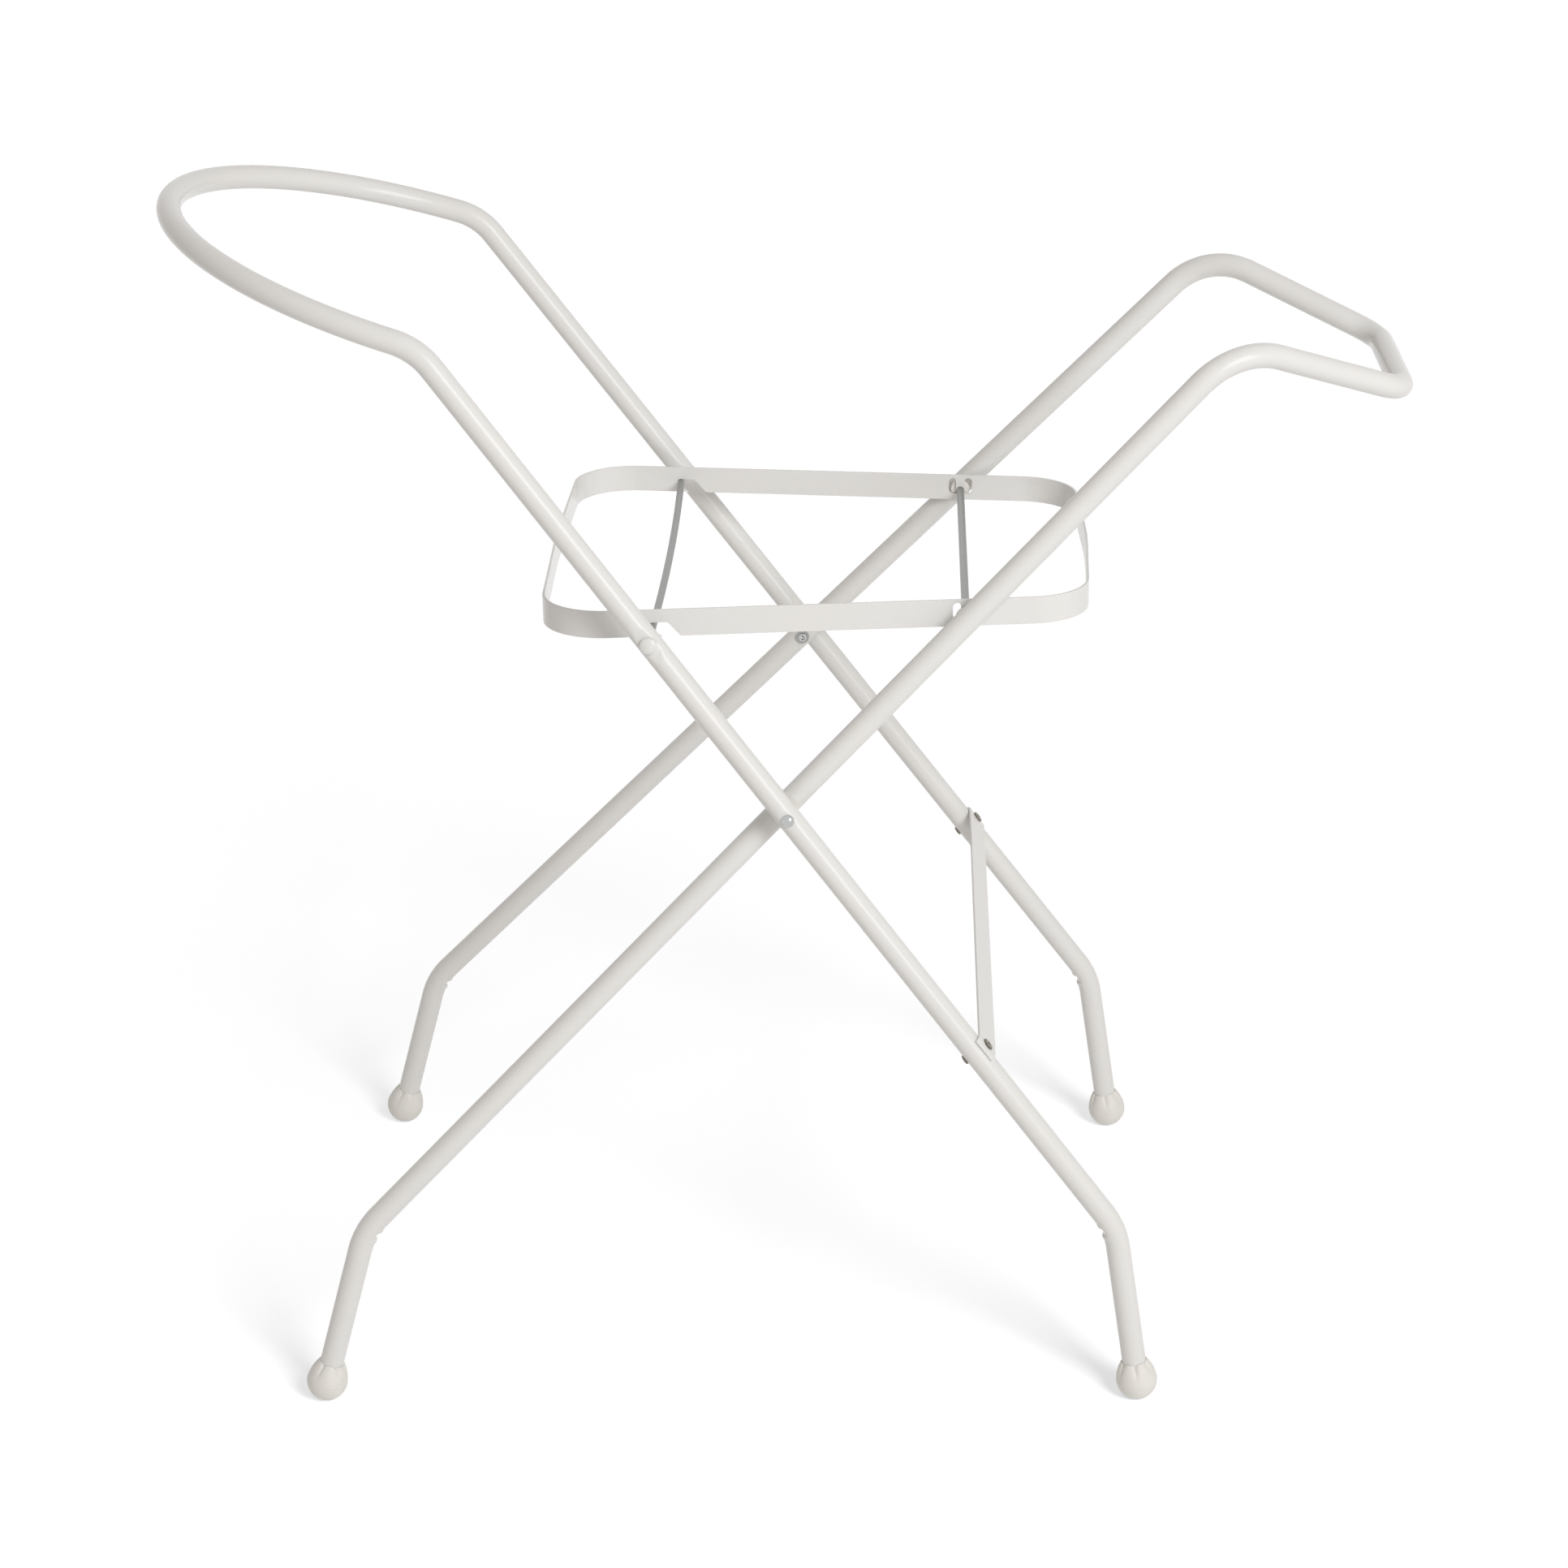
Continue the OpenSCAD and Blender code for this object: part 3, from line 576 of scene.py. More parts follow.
def powder_coat():
    """Baked polyester powder on steel, sprayed and stoved.

    The eye sees a smooth off-white gloss with soft-edged highlights, a faint orange peel where it
    flowed out, and a hardly warmer tone where the coat lies thicker.
    """
    material, tree = new_finish("powder_coat_off_white")
    where = add(tree, "ShaderNodeTexCoord").outputs["Object"]
    tones = stand().finishes
    drift = add(tree, "ShaderNodeTexNoise", {
        "Vector": where, "Scale": per_metre(90), "Detail": 2, "Roughness": 0.5}).outputs["Fac"]
    tone = add(tree, "ShaderNodeMix", {
        0: drift, 6: tones.paint, 7: tones.paint_warm}, data_type="RGBA")
    gloss = add(tree, "ShaderNodeMapRange", {
        "Value": drift, "From Min": 0.3, "From Max": 0.7, "To Min": 0.18, "To Max": 0.23})
    # Real orange peel is 1 to 2 mm across. It is drawn a little coarser, so that it shows
    peel = add(tree, "ShaderNodeTexNoise", {
        "Vector": where, "Scale": per_metre(2.2), "Detail": 1, "Roughness": 0.4})
    bump = add(tree, "ShaderNodeBump", {
        "Height": peel.outputs["Fac"], "Strength": 0.1, "Distance": 0.006 * MM})
    shader = add(tree, "ShaderNodeBsdfPrincipled", {
        "Base Color": tone.outputs[2], "Roughness": gloss.outputs[0],
        "Normal": bump.outputs[0], "IOR": 1.5})
    add(tree, "ShaderNodeOutputMaterial", {"Surface": shader.outputs[0]})
    return material


def soft_plastic():
    """Injection-moulded low-density polyethylene.

    The eye sees a waxy satin, a little warmer than the paint, that lets some light in at thin edges.
    """
    material, tree = new_finish("foot_polyethylene")
    where = add(tree, "ShaderNodeTexCoord").outputs["Object"]
    drift = add(tree, "ShaderNodeTexNoise", {
        "Vector": where, "Scale": per_metre(14), "Detail": 3, "Roughness": 0.55}).outputs["Fac"]
    value = add(tree, "ShaderNodeMapRange", {
        "Value": drift, "From Min": 0.3, "From Max": 0.7, "To Min": 0.975, "To Max": 1.02})
    tone = add(tree, "ShaderNodeHueSaturation", {
        "Color": stand().finishes.foot, "Value": value.outputs[0]})
    gloss = add(tree, "ShaderNodeMapRange", {"Value": drift, "To Min": 0.36, "To Max": 0.5})
    # The spark-eroded mould leaves a grain of about a third of a millimetre
    grain = add(tree, "ShaderNodeTexNoise", {
        "Vector": where, "Scale": per_metre(0.35), "Detail": 2, "Roughness": 0.6})
    bump = add(tree, "ShaderNodeBump", {
        "Height": grain.outputs["Fac"], "Strength": 0.2, "Distance": 0.01 * MM})
    shader = add(tree, "ShaderNodeBsdfPrincipled", {
        "Base Color": tone.outputs[0], "Roughness": gloss.outputs[0],
        "Normal": bump.outputs[0], "IOR": 1.51, "Subsurface Weight": 0.12,
        "Subsurface Radius": (1.0, 0.9, 0.75), "Subsurface Scale": 1.5 * MM})
    add(tree, "ShaderNodeOutputMaterial", {"Surface": shader.outputs[0]})
    return material


def hard_plastic():
    """Injection-moulded nylon, polished mould.

    The eye sees a clean white with a tighter gloss than the feet have.
    """
    material, tree = new_finish("trim_nylon")
    where = add(tree, "ShaderNodeTexCoord").outputs["Object"]
    drift = add(tree, "ShaderNodeTexNoise", {
        "Vector": where, "Scale": per_metre(6), "Detail": 2}).outputs["Fac"]
    gloss = add(tree, "ShaderNodeMapRange", {"Value": drift, "To Min": 0.26, "To Max": 0.36})
    bump = add(tree, "ShaderNodeBump", {
        "Height": drift, "Strength": 0.15, "Distance": 0.02 * MM})
    shader = add(tree, "ShaderNodeBsdfPrincipled", {
        "Base Color": stand().finishes.trim, "Roughness": gloss.outputs[0],
        "Normal": bump.outputs[0], "IOR": 1.53})
    add(tree, "ShaderNodeOutputMaterial", {"Surface": shader.outputs[0]})
    return material


def plated_steel(name, tone, rough, draw, mottle):
    """Plated steel wire or sheet.

    draw says how many times longer than wide its draw lines are along Y, and mottle how much they
    differ in tone. Real ones are a tenth of a millimetre wide, too fine to show.
    """
    material, tree = new_finish(name)
    where = add(tree, "ShaderNodeTexCoord").outputs["Object"]
    lines = add(tree, "ShaderNodeMapping", {"Vector": where, "Scale": (1, 1 / draw, 1)})
    streaks = add(tree, "ShaderNodeTexNoise", {
        "Vector": lines.outputs[0], "Scale": per_metre(1.1), "Detail": 4,
        "Roughness": 0.65}).outputs["Fac"]
    value = add(tree, "ShaderNodeMapRange", {
        "Value": streaks, "From Min": 0.3, "From Max": 0.7,
        "To Min": 1 - mottle, "To Max": 1 + mottle / 2})
    colours = add(tree, "ShaderNodeHueSaturation", {"Color": tone, "Value": value.outputs[0]})
    gloss = add(tree, "ShaderNodeMapRange", {
        "Value": streaks, "From Min": 0.3, "From Max": 0.7,
        "To Min": rough * 0.85, "To Max": rough * 1.2})
    bump = add(tree, "ShaderNodeBump", {
        "Height": streaks, "Strength": 0.3, "Distance": 0.02 * MM})
    shader = add(tree, "ShaderNodeBsdfPrincipled", {
        "Base Color": colours.outputs[0], "Roughness": gloss.outputs[0],
        "Normal": bump.outputs[0], "Metallic": 1})
    add(tree, "ShaderNodeOutputMaterial", {"Surface": shader.outputs[0]})
    return material


def zinc_wire():
    """Drawn steel wire, zinc plated. The eye sees dull grey with darker draw lines along it."""
    return plated_steel("zinc_plated_wire", stand().finishes.zinc, rough=0.42, draw=9, mottle=0.18)


def zinc_sheet():
    """Pressed steel, zinc plated. The eye sees a cool satin grey."""
    return plated_steel("zinc_plated_washer", stand().finishes.zinc, rough=0.3, draw=1, mottle=0.08)


def bright_nickel():
    """Nickel-plated rivet steel. The eye sees a mirror with the faintest haze."""
    return plated_steel("bright_nickel", stand().finishes.nickel, rough=0.07, draw=1, mottle=0.02)


def dark_bronze():
    """Blackened steel, rubbed bright at its rolled edge. The eye sees warm dark grey metal."""
    return plated_steel("bronzed_steel", stand().finishes.bronze, rough=0.22, draw=1, mottle=0.2)


@functools.cache
def finish_of(maker):
    """The one material that a maker makes, made when it is first asked for."""
    return maker()


# ---- Where things are ----

def leg_point(sizes, lean, s, side):
    """The point of a leg's axis that lies s above the pivot along the leg.

    lean is -1 for the outer frame, whose upper legs lean to -X, and 1 for the inner frame.
    """
    height = s * math.sin(sizes.slope)
    y = sizes.half - height * math.tan(sizes.splay)
    return PIVOT + Vector((lean * s * math.cos(sizes.slope), side * y, height))


def outer_point(s, side=1):
    return leg_point(stand().outer, -1, s, side)


def inner_point(s, side=1):
    return leg_point(stand().inner, 1, s, side)


def girth_height():
    """Height of a foot's girth above the floor: the foot is a ball, cut flat below."""
    feet = stand().feet
    return math.sqrt(feet.diameter ** 2 - feet.flat ** 2) / 2


def shank_end(lower, sizes, lean):
    """Where a shank ends inside its foot, at the foot's girth."""
    height = lower.z - girth_height()
    return lower + height * Vector(
        (lean * math.tan(sizes.shank_lean), math.tan(sizes.shank_splay), -1))


def outer_path():
    """Half the outer frame's axis, from the rear shank's end to the round loop, and its radii."""
    o = stand().outer
    upper = outer_point(o.up)
    lower = outer_point(-o.down)
    reach = o.loop_reach
    corner = upper + reach * Vector(
        (-math.cos(o.loop_rise), -math.tan(o.loop_converge), math.sin(o.loop_rise)))
    points = [shank_end(lower, o, 1), lower, upper, corner, Vector((corner.x, 0, corner.z))]
    turn = (corner - upper).angle(-ACROSS)
    upper_trim = Bend(lower, upper, corner, o.upper_bend).trim
    straight = 1 * MM
    trim = min(corner.y, (corner - upper).length - upper_trim - straight)
    return points, [o.lower_bend, o.upper_bend, trim / math.tan(turn / 2)]


def inner_path():
    """Half the inner frame's axis, from the rear shank's end to the square loop, and its radii."""
    i = stand().inner
    upper = inner_point(i.up)
    lower = inner_point(-i.down)
    corner = Vector((
        upper.x + i.loop_reach * math.cos(i.loop_fall), i.loop_half,
        upper.z - i.loop_reach * math.sin(i.loop_fall)))
    points = [shank_end(lower, i, -1), lower, upper, corner, Vector((corner.x, 0, corner.z))]
    return points, [i.lower_bend, i.upper_bend, i.corner_bend]


# ---- Frame tubes ----

def smooth(x):
    """0 below 0, 1 above 1, and an even rise between."""
    x = min(1, max(0, x))
    return x * x * (3 - 2 * x)


def soft_min(a, b, blend):
    """The smaller of two numbers, with a round change from one to the other."""
    if blend <= 0:
        return min(a, b)
    h = min(1, max(0, 0.5 + (b - a) / (2 * blend)))
    return b + (a - b) * h - blend * h * (1 - h)


def press_flat(bm, point, way, face, depth, half, fade):
    """Presses a flat into a straight tube's wall, at a point of its axis, on the side of face."""
    reach = 0.75 * stand().tube.diameter        # takes in the whole tube and nothing else
    for vert in bm.verts:
        along = (vert.co - point).dot(way)
        out = vert.co - point - way * along
        if abs(along) > half + fade or out.length > reach:
            continue
        weight = smooth(1 - (abs(along) - half) / fade)
        height = out.dot(face)
        flat = soft_min(height, out.length - depth * weight, 1.2 * depth * weight)
        vert.co += face * (min(height, flat) - height)


def crease_bend(bm, bend):
    """Presses the crease that the bending tool leaves inside a bend, with a lip at each end."""
    dents = stand().dents
    radius = stand().tube.diameter / 2
    reach = 1.2 * radius
    inside = bend.radius - radius
    arrive = bend.axis.cross(-bend.inward)
    full, fade = math.radians(22), math.radians(40)     # the crease's spread round the tube
    near_step, far_step, run_out = 0.9 * MM, 3 * MM, 2 * MM
    lip_width = 1.3 * MM
    lips = ((-dents.crease_half - lip_width, 1.0), (dents.crease_half + 2.4 * lip_width, 0.9))
    for vert in bm.verts:
        out = vert.co - bend.centre
        side = out.dot(bend.axis)
        flat = out - bend.axis * side
        spread = flat.angle(-bend.inward)
        if abs(side) > reach or spread > bend.turn or flat.length > bend.radius + reach:
            continue
        along = math.copysign(spread * inside, flat.dot(arrive)) - dents.crease_shift
        depth_in = bend.radius - flat.length
        wall = math.hypot(depth_in, side)
        if depth_in <= 0 or wall > reach:
            continue
        turn_in = math.acos(min(1, depth_in / wall))
        pressed = smooth((along + dents.crease_half) / near_step) * smooth(
            (dents.crease_half + run_out - along) / far_step)
        proud = sum(part * math.exp(-((along - at) / lip_width) ** 2) for at, part in lips)
        move = dents.crease_depth * pressed - dents.crease_lip * proud
        vert.co += flat.normalized() * move * smooth(1 - (turn_in - full) / fade)


def frame_tube(name, points, radii, flats):
    """One bent tube: half of its two skins is swept, joined at the end, dented and mirrored.

    flats lists, for the long leg, a distance from its lower corner, a face and depth, half, fade.
    Rods and rivets run through the wall without holes.
    """
    tube = stand().tube
    bends = bends_of(points, radii)
    rows = []
    for at, _, _, half, fade in flats:
        rows += fine_rows(at, half + fade, tube.fine_step)
    bm = bmesh.new()
    ends = []
    for radius in (tube.diameter / 2, tube.diameter / 2 - tube.wall):
        start = facing(points[0], points[1] - points[0], ALONG)
        first = hoop(bm, radius, tube.sides, start)
        shank = carry_shank(bm, first, points, bends[0], tube)
        sweep(bm, shank, [bends[0].end] + points[2:], bends[1:], tube.bend_step,
              {0: [row - bends[0].trim for row in rows]})
        ends += first
    # Known fault: this joins the circles in opposite senses, and the bore's skin faces outward
    bmesh.ops.bridge_loops(bm, edges=ends)
    crease_bend(bm, bends[0])
    way = (points[2] - points[1]).normalized()
    for at, face, depth, half, fade in flats:
        press_flat(bm, points[1] + way * at, way, face, depth, half, fade)
    for vert in bm.verts:
        if abs(vert.co.y) < MEET_DIST:
            vert.co.y = 0
    mirror_across(bm)
    return object_from(name, bm)


def carry_shank(bm, row, points, bend, tube):
    """Sweeps the shank and the lower bend, whose crease needs close rows."""
    way = (points[1] - points[0]).normalized()
    run = (bend.start - points[0]).length
    row = carry(bm, row, way * (run - GUARD))
    row = carry(bm, row, way * GUARD)
    inside = bend.radius - tube.diameter / 2
    row_step = 0.75 * tube.fine_step
    steps = math.ceil(inside * bend.turn / row_step)
    return turn_row(bm, row, bend.centre, bend.axis, bend.turn, steps)


def make_outer_frame():
    points, radii = outer_path()
    down, dents = stand().outer.down, stand().dents
    flats = [
        (down + stand().latch.rod_s, ACROSS, dents.cap_depth, dents.cap_half, dents.cap_fade),
        (down, ACROSS, dents.pivot_depth, dents.pivot_half, dents.pivot_fade)]
    made = frame_tube("outer_frame_tube", points, radii, flats)
    stand_for(made, "outer_tube", finish_of(powder_coat), sharp=math.radians(60))


def make_inner_frame():
    points, radii = inner_path()
    down, dents = stand().inner.down, stand().dents
    flats = [(down + stand().ring.rod_s, -ACROSS,
              dents.axle_depth, dents.axle_half, dents.axle_fade)]
    made = frame_tube("inner_frame_tube", points, radii, flats)
    stand_for(made, "inner_tube", finish_of(powder_coat), sharp=math.radians(60))


# ---- Feet ----

def foot_outline():
    """A foot's section: ball, girth, arc up to the mouth, rounded rim and blind socket."""
    feet = stand().feet
    girth = feet.diameter / 2
    mouth = feet.mouth / 2
    socket = stand().tube.diameter / 2 + feet.play
    rise = feet.upper + feet.belly
    drop = girth - mouth
    middle = (girth ** 2 - mouth ** 2 + feet.belly ** 2 - rise ** 2) / (2 * drop)
    side = math.hypot(girth - middle, feet.belly)
    low = math.degrees(math.asin(feet.belly / side))
    high = math.degrees(math.asin(rise / side))
    rim = (mouth - socket) / 2
    ball = girth - feet.crease / 2
    crease_below = 0.35 * MM
    crease = [(girth - feet.crease, -crease_below)]
    return (
        arc((0, 0), ball, -90, -3, 26) + crease + arc((middle, -feet.belly), side, low, high, 22)
        + arc((mouth - rim, feet.upper), rim, 12, 168, 6)
        + [(socket, feet.upper - rim), (socket, -feet.play), (0, -feet.play)])


def shape_petals(bm, turn):
    """Draws the upper part in along the grooves, and lets the rim dip between the petals."""
    feet = stand().feet
    socket = stand().tube.diameter / 2 + 1.5 * feet.play
    part = math.tau / feet.petals
    petals_from = 1.5 * MM              # above the girth
    groove_width = 0.22                 # of half a petal
    rim_only = 0.35                     # of the upper part's height, where the dips begin
    dip_round = 0.97                    # nearly a quarter of a circle, which is 1
    for vert in bm.verts:
        reach = math.hypot(vert.co.x, vert.co.y)
        height = vert.co.z
        if height < petals_from or reach < socket:
            continue
        at = (math.atan2(vert.co.y, vert.co.x) - turn) / part
        edge = 1 - 2 * abs(at - round(at))
        rise = smooth(height / feet.upper)
        cut = feet.groove * math.exp(-((1 - edge) / groove_width) ** 2)
        narrowed = max(socket, reach - rise * (cut + feet.crown * edge ** 2))
        dip = feet.dip * (1 - math.sqrt(1 - (dip_round * edge) ** 2)) * smooth(
            (height / feet.upper - rim_only) / (1 - rim_only))
        vert.co.x *= narrowed / reach
        vert.co.y *= narrowed / reach
        vert.co.z -= dip


def make_foot(name, node, end, above, turn):
    """A foot on a shank's end: turned, petalled, tilted onto the shank and cut off at the floor."""
    base_edge = 0.6 * MM
    bm = turned(foot_outline(), FOOT_FACETS, Matrix.Identity(4))
    shape_petals(bm, turn)
    way = (above - end).normalized()
    heading = math.atan2(way.y, way.x)
    lean = math.acos(way.z)
    tilt = Matrix.Rotation(heading, 4, "Z") @ Matrix.Rotation(lean, 4, "Y")
    bmesh.ops.transform(bm, matrix=Matrix.Translation(end) @ tilt, verts=bm.verts)
    bmesh.ops.bisect_plane(
        bm, geom=everything(bm), dist=MERGE_DIST, plane_co=(0, 0, 0), plane_no=-UP, clear_outer=True)
    open_edges = [edge for edge in bm.edges if edge.is_boundary]
    base = bmesh.ops.contextual_create(bm, geom=open_edges)["faces"]
    bmesh.ops.recalc_face_normals(bm, faces=bm.faces)
    bmesh.ops.bevel(
        bm, geom=base[0].edges[:], offset=base_edge, segments=3, profile=0.5, affect="EDGES",
        material=-1)
    stand_for(object_from(name, bm), node, finish_of(soft_plastic), sharp=math.radians(50))


def make_feet():
    feet = stand().feet
    for kind, path, turn in (
            ("outer", outer_path, feet.outer_turn), ("inner", inner_path, feet.inner_turn)):
        points, _ = path()
        for place, side in SIDES.items():
            end, above = (Vector((p.x, side * p.y, p.z)) for p in points[:2])
            node = f"{kind}_foot_{place}"
            make_foot(f"foot_{kind}_{place}", node, end, above, -side * turn)


# ---- Pivots ----

def domed(radius, top, rim_height, edge):
    """The section of a dome, from its middle out to an upright edge of that height."""
    rise = top - rim_height
    ball = (radius ** 2 + rise ** 2) / (2 * rise)
    turn = math.degrees(math.asin((radius - edge) / ball))
    return arc((0, top - ball), ball, 90, 90 - turn, 14) + [(radius, rim_height - edge)]


def pivot_washer_y():
    """Where a washer's free face lies: inside the splayed inner tube, a running gap off it."""
    fixings = stand().fixings
    inner = stand().inner
    rise = fixings.washer_d / 2 * math.sin(inner.slope) * math.tan(inner.splay)
    face = inner.half - stand().tube.diameter / 2 - rise
    return face - fixings.free_gap - fixings.washer_t


def rivet_outline(tail):
    """A pivot rivet's section, from the dome's top to the hollow, rolled tail."""
    f = stand().fixings
    tube = stand().tube.diameter / 2
    outer = stand().outer.half
    head, shank = f.pivot_head_d / 2, f.pivot_d / 2
    bore = shank - 1 * MM
    flare = shank + f.pivot_flare
    roll, slack = 0.5 * MM, 0.1 * MM
    hollow, hollow_point = 3 * MM, 4 * MM
    rim, edge, sunk = 0.5 * MM, 0.15 * MM, 0.2 * MM
    under = outer + math.sqrt(tube ** 2 - head ** 2) - sunk
    return (
        domed(head, outer + tube + f.pivot_head_h, outer + tube + rim, edge)
        + [(head, under), (shank, under), (shank, tail + f.pivot_tail),
           (flare, tail + f.pivot_tail - slack)]
        + arc((flare - roll, tail + roll), roll, 0, -90, 4)
        + arc((bore + roll, tail + roll), roll, -90, -180, 4)
        + [(bore, tail + hollow), (0, tail + hollow_point)])


def make_pivots():
    f = stand().fixings
    washer = pivot_washer_y()
    top = washer + f.washer_t
    play, edge = 0.08 * MM, 0.2 * MM
    low, high = f.pivot_d / 2 + play, f.washer_d / 2
    washer_outline = [
        (low + edge, washer), (high - edge, washer), (high, washer + edge), (high, top - edge),
        (high - edge, top), (low + edge, top), (low, top - edge), (low, washer + edge)]
    for place, side in SIDES.items():
        at = sideways(PIVOT, side)
        turned_piece(f"pivot_rivet_{place}_bright", f"pivot_rivet_{place}",
                     rivet_outline(washer - f.pivot_tail), at, bright_nickel)
        turned_piece(f"pivot_washer_{place}_plated", f"pivot_washer_{place}",
                     washer_outline, at, zinc_sheet, sharp=math.radians(30))
        repaint(f"pivot_spacer_{place}", finish_of(hard_plastic))


# ---- Latch rod and caps ----

def make_latch():
    latch = stand().latch
    tube = stand().tube.diameter / 2
    middle = outer_point(latch.rod_s)
    cover = 2 * MM                      # of a cap's top over the rod's end
    end_y = middle.y + tube + latch.cap_h - cover
    kink_y = middle.y - tube - latch.kink_inset
    lean = math.atan(2 * latch.bow / kink_y)
    kink_bend, straight = 200 * MM, 20 * MM
    points = [Vector((middle.x + x, y, middle.z)) for x, y in (
        (0, end_y), (0, kink_y), (2 * latch.bow, 0), (0, -kink_y), (0, -end_y))]
    bends = bends_of(points, [kink_bend, (kink_y - straight) / math.tan(lean), kink_bend])
    sides, step = 32, math.radians(0.4)
    bm = bmesh.new()
    first = hoop(bm, latch.rod_d / 2, sides, facing(points[0], points[1] - points[0], UP))
    last = sweep(bm, first, points, bends, step)
    for row in (first, last):
        bmesh.ops.contextual_create(bm, geom=row)
    bmesh.ops.recalc_face_normals(bm, faces=bm.faces)
    stand_for(object_from("latch_rod_wire", bm), "latch_rod", finish_of(zinc_wire))

    radius = latch.cap_d / 2
    edge, sunk = 0.5 * MM, 0.3 * MM
    under = math.sqrt(tube ** 2 - radius ** 2) - sunk
    outline = domed(radius, tube + latch.cap_h, tube + latch.cap_rim, edge) + [
        (radius, under), (0, under)]
    for place, side in SIDES.items():
        turned_piece(f"latch_cap_{place}_painted", f"latch_cap_{place}", outline,
                     sideways(outer_point(latch.rod_s, side), side), powder_coat,
                     sharp=math.radians(50))


# ---- Lock ring and its rod ----

class RingPlan:
    """The lock ring's plan, with its own rod's axis at the origin and the latch rod at -gap."""

    def __init__(self):
        ring, latch = stand().ring, stand().latch
        tube = stand().tube.diameter / 2
        rod = inner_point(ring.rod_s)
        hook = outer_point(latch.rod_s)
        self.half_rod = rod.y - tube - ring.inner_gap
        half_hook = hook.y - tube - ring.outer_gap
        kink_y = hook.y - tube - latch.kink_inset
        shift = (kink_y - half_hook) * 2 * latch.bow / kink_y
        line = Vector((rod.x - hook.x - shift, rod.z - hook.z))
        self.gap = line.length
        self.tilt = math.atan2(line.y, line.x)
        self.taper = (half_hook - self.half_rod) / self.gap
        left = -self.gap - ring.left_reach
        right = ring.right_reach
        left_half, right_half = self.half_at(left), self.half_at(right)
        start = Vector((-self.gap / 2, -self.half_at(-self.gap / 2), 0))
        self.points = [
            start, Vector((right, -right_half, 0)), Vector((right + ring.right_bow, 0, 0)),
            Vector((right, right_half, 0)), Vector((left, left_half, 0)),
            Vector((left - ring.left_bow, 0, 0)), Vector((left, -left_half, 0)), start]
        bow = 1000 * MM
        self.radii = [ring.right_corner, bow, ring.right_corner,
                      ring.left_corner, bow, ring.left_corner]

    def half_at(self, x):
        return self.half_rod - self.taper * x


def notch_outline(plan):
    """The latch notch, in X and height, open at the band's lower edge."""
    ring, latch = stand().ring, stand().latch
    seat = latch.rod_d / 2 + latch.notch_gap
    low = -ring.rod_rise
    over = 1 * MM
    tip = Vector((latch.tongue, low))
    lip = math.degrees(math.atan2(tip.y, tip.x) - math.acos(seat / tip.length))
    foot = latch.notch_flat + latch.notch_slant
    outline = arc((0, 0), seat, 90, 360 + lip, 20) + [
        (tip.x, tip.y), (tip.x, low - over), (foot, low - over), (foot, low),
        (latch.notch_flat, seat)]
    return [(x - plan.gap, z) for x, z in outline]


def window_outline():
    """The window round the ring's rod: two lobes, the tab between them, and a scoop for the rod."""
    ring = stand().ring
    hole = ring.rod_d / 2 + ring.rod_play
    low = ring.window_scoop - ring.rod_d / 2
    high = low + ring.window_h
    half, tab, r = ring.window_w / 2, ring.tab_w / 2, ring.window_corner
    inner_r, tab_r = 2.6 * MM, 1.4 * MM
    tab_low = 0.6 * MM
    scoop = math.degrees(math.asin(low / hole))
    tab_meets_rod = 24                  # degrees round the rod
    right = (
        arc((0, 0), hole, -90, scoop, 4)
        + arc((half - r, low + r), r, -90, 0, 8)
        + arc((half - r, high - r), r, 0, 90, 8)
        + arc((tab + inner_r, high - inner_r), inner_r, 90, 180, 8)
        + arc((tab - tab_r, tab_low + tab_r), tab_r, 0, -60, 5)
        + arc((0, 0), hole, tab_meets_rod, 90, 8))
    left = [(-x, z) for x, z in reversed(right[1:-1])]
    return right + left


def make_lock_ring():
    ring = stand().ring
    plan = RingPlan()
    bm = bmesh.new()
    low = bm.verts.new(plan.points[0] - UP * ring.rod_rise)
    high = bm.verts.new(plan.points[0] + UP * (ring.height - ring.rod_rise))
    row = [bm.edges.new((low, high))]
    bends = bends_of(plan.points, plan.radii)
    step = math.radians(2.5)
    sweep(bm, row, plan.points, bends, step)
    bmesh.ops.remove_doubles(bm, verts=bm.verts, dist=MEET_DIST)
    bmesh.ops.recalc_face_normals(bm, faces=bm.faces)
    band = sheet("lock_ring_band", bm, ring.thickness, offset=-1)
    depth = 300 * MM
    cutters = [object_from("cutter", prism(outline, depth))
               for outline in (notch_outline(plan), window_outline())]
    cut_away(band, *cutters)
    rounded(band, ring.edge)
    settle(band, *cutters)
    place = Matrix.Translation(RING_AXLE) @ Matrix.Rotation(-plan.tilt, 4, "Y")
    band.data.transform(place)
    stand_for(band, "lock_ring", finish_of(powder_coat), sharp=None)


def make_ring_axle():
    ring = stand().ring
    tube = stand().tube
    plan = RingPlan()
    end = inner_point(ring.rod_s)
    inside, chamfer, sides = 1.5 * MM, 0.4 * MM, 40
    reach = end.y + tube.diameter / 2 - tube.wall - inside
    ends = [Vector((RING_AXLE.x, side * reach, RING_AXLE.z)) for side in (-1, 1)]
    rod = object_from("ring_rod_wire", bar(ring.rod_d / 2, sides, *ends, chamfer))
    stand_for(rod, "ring_rod", finish_of(zinc_wire))
    play, gap, edge = 0.05 * MM, 0.35 * MM, 0.5 * MM
    low, high = ring.rod_d / 2 + play, ring.bush_d / 2
    near = plan.half_rod + plan.taper * high + gap
    far = end.y - tube.diameter / 2 + stand().dents.axle_depth
    outline = (
        [(low, near)] + arc((high - edge, near + edge), edge, -90, 0, 4)
        + arc((high - edge, far - edge), edge, 0, 90, 4) + [(low, far)])
    for place, side in SIDES.items():
        turned_piece(f"ring_bush_{place}_nylon", f"ring_bush_{place}", outline,
                     sideways(RING_AXLE, side), hard_plastic)


# ---- Brace ----

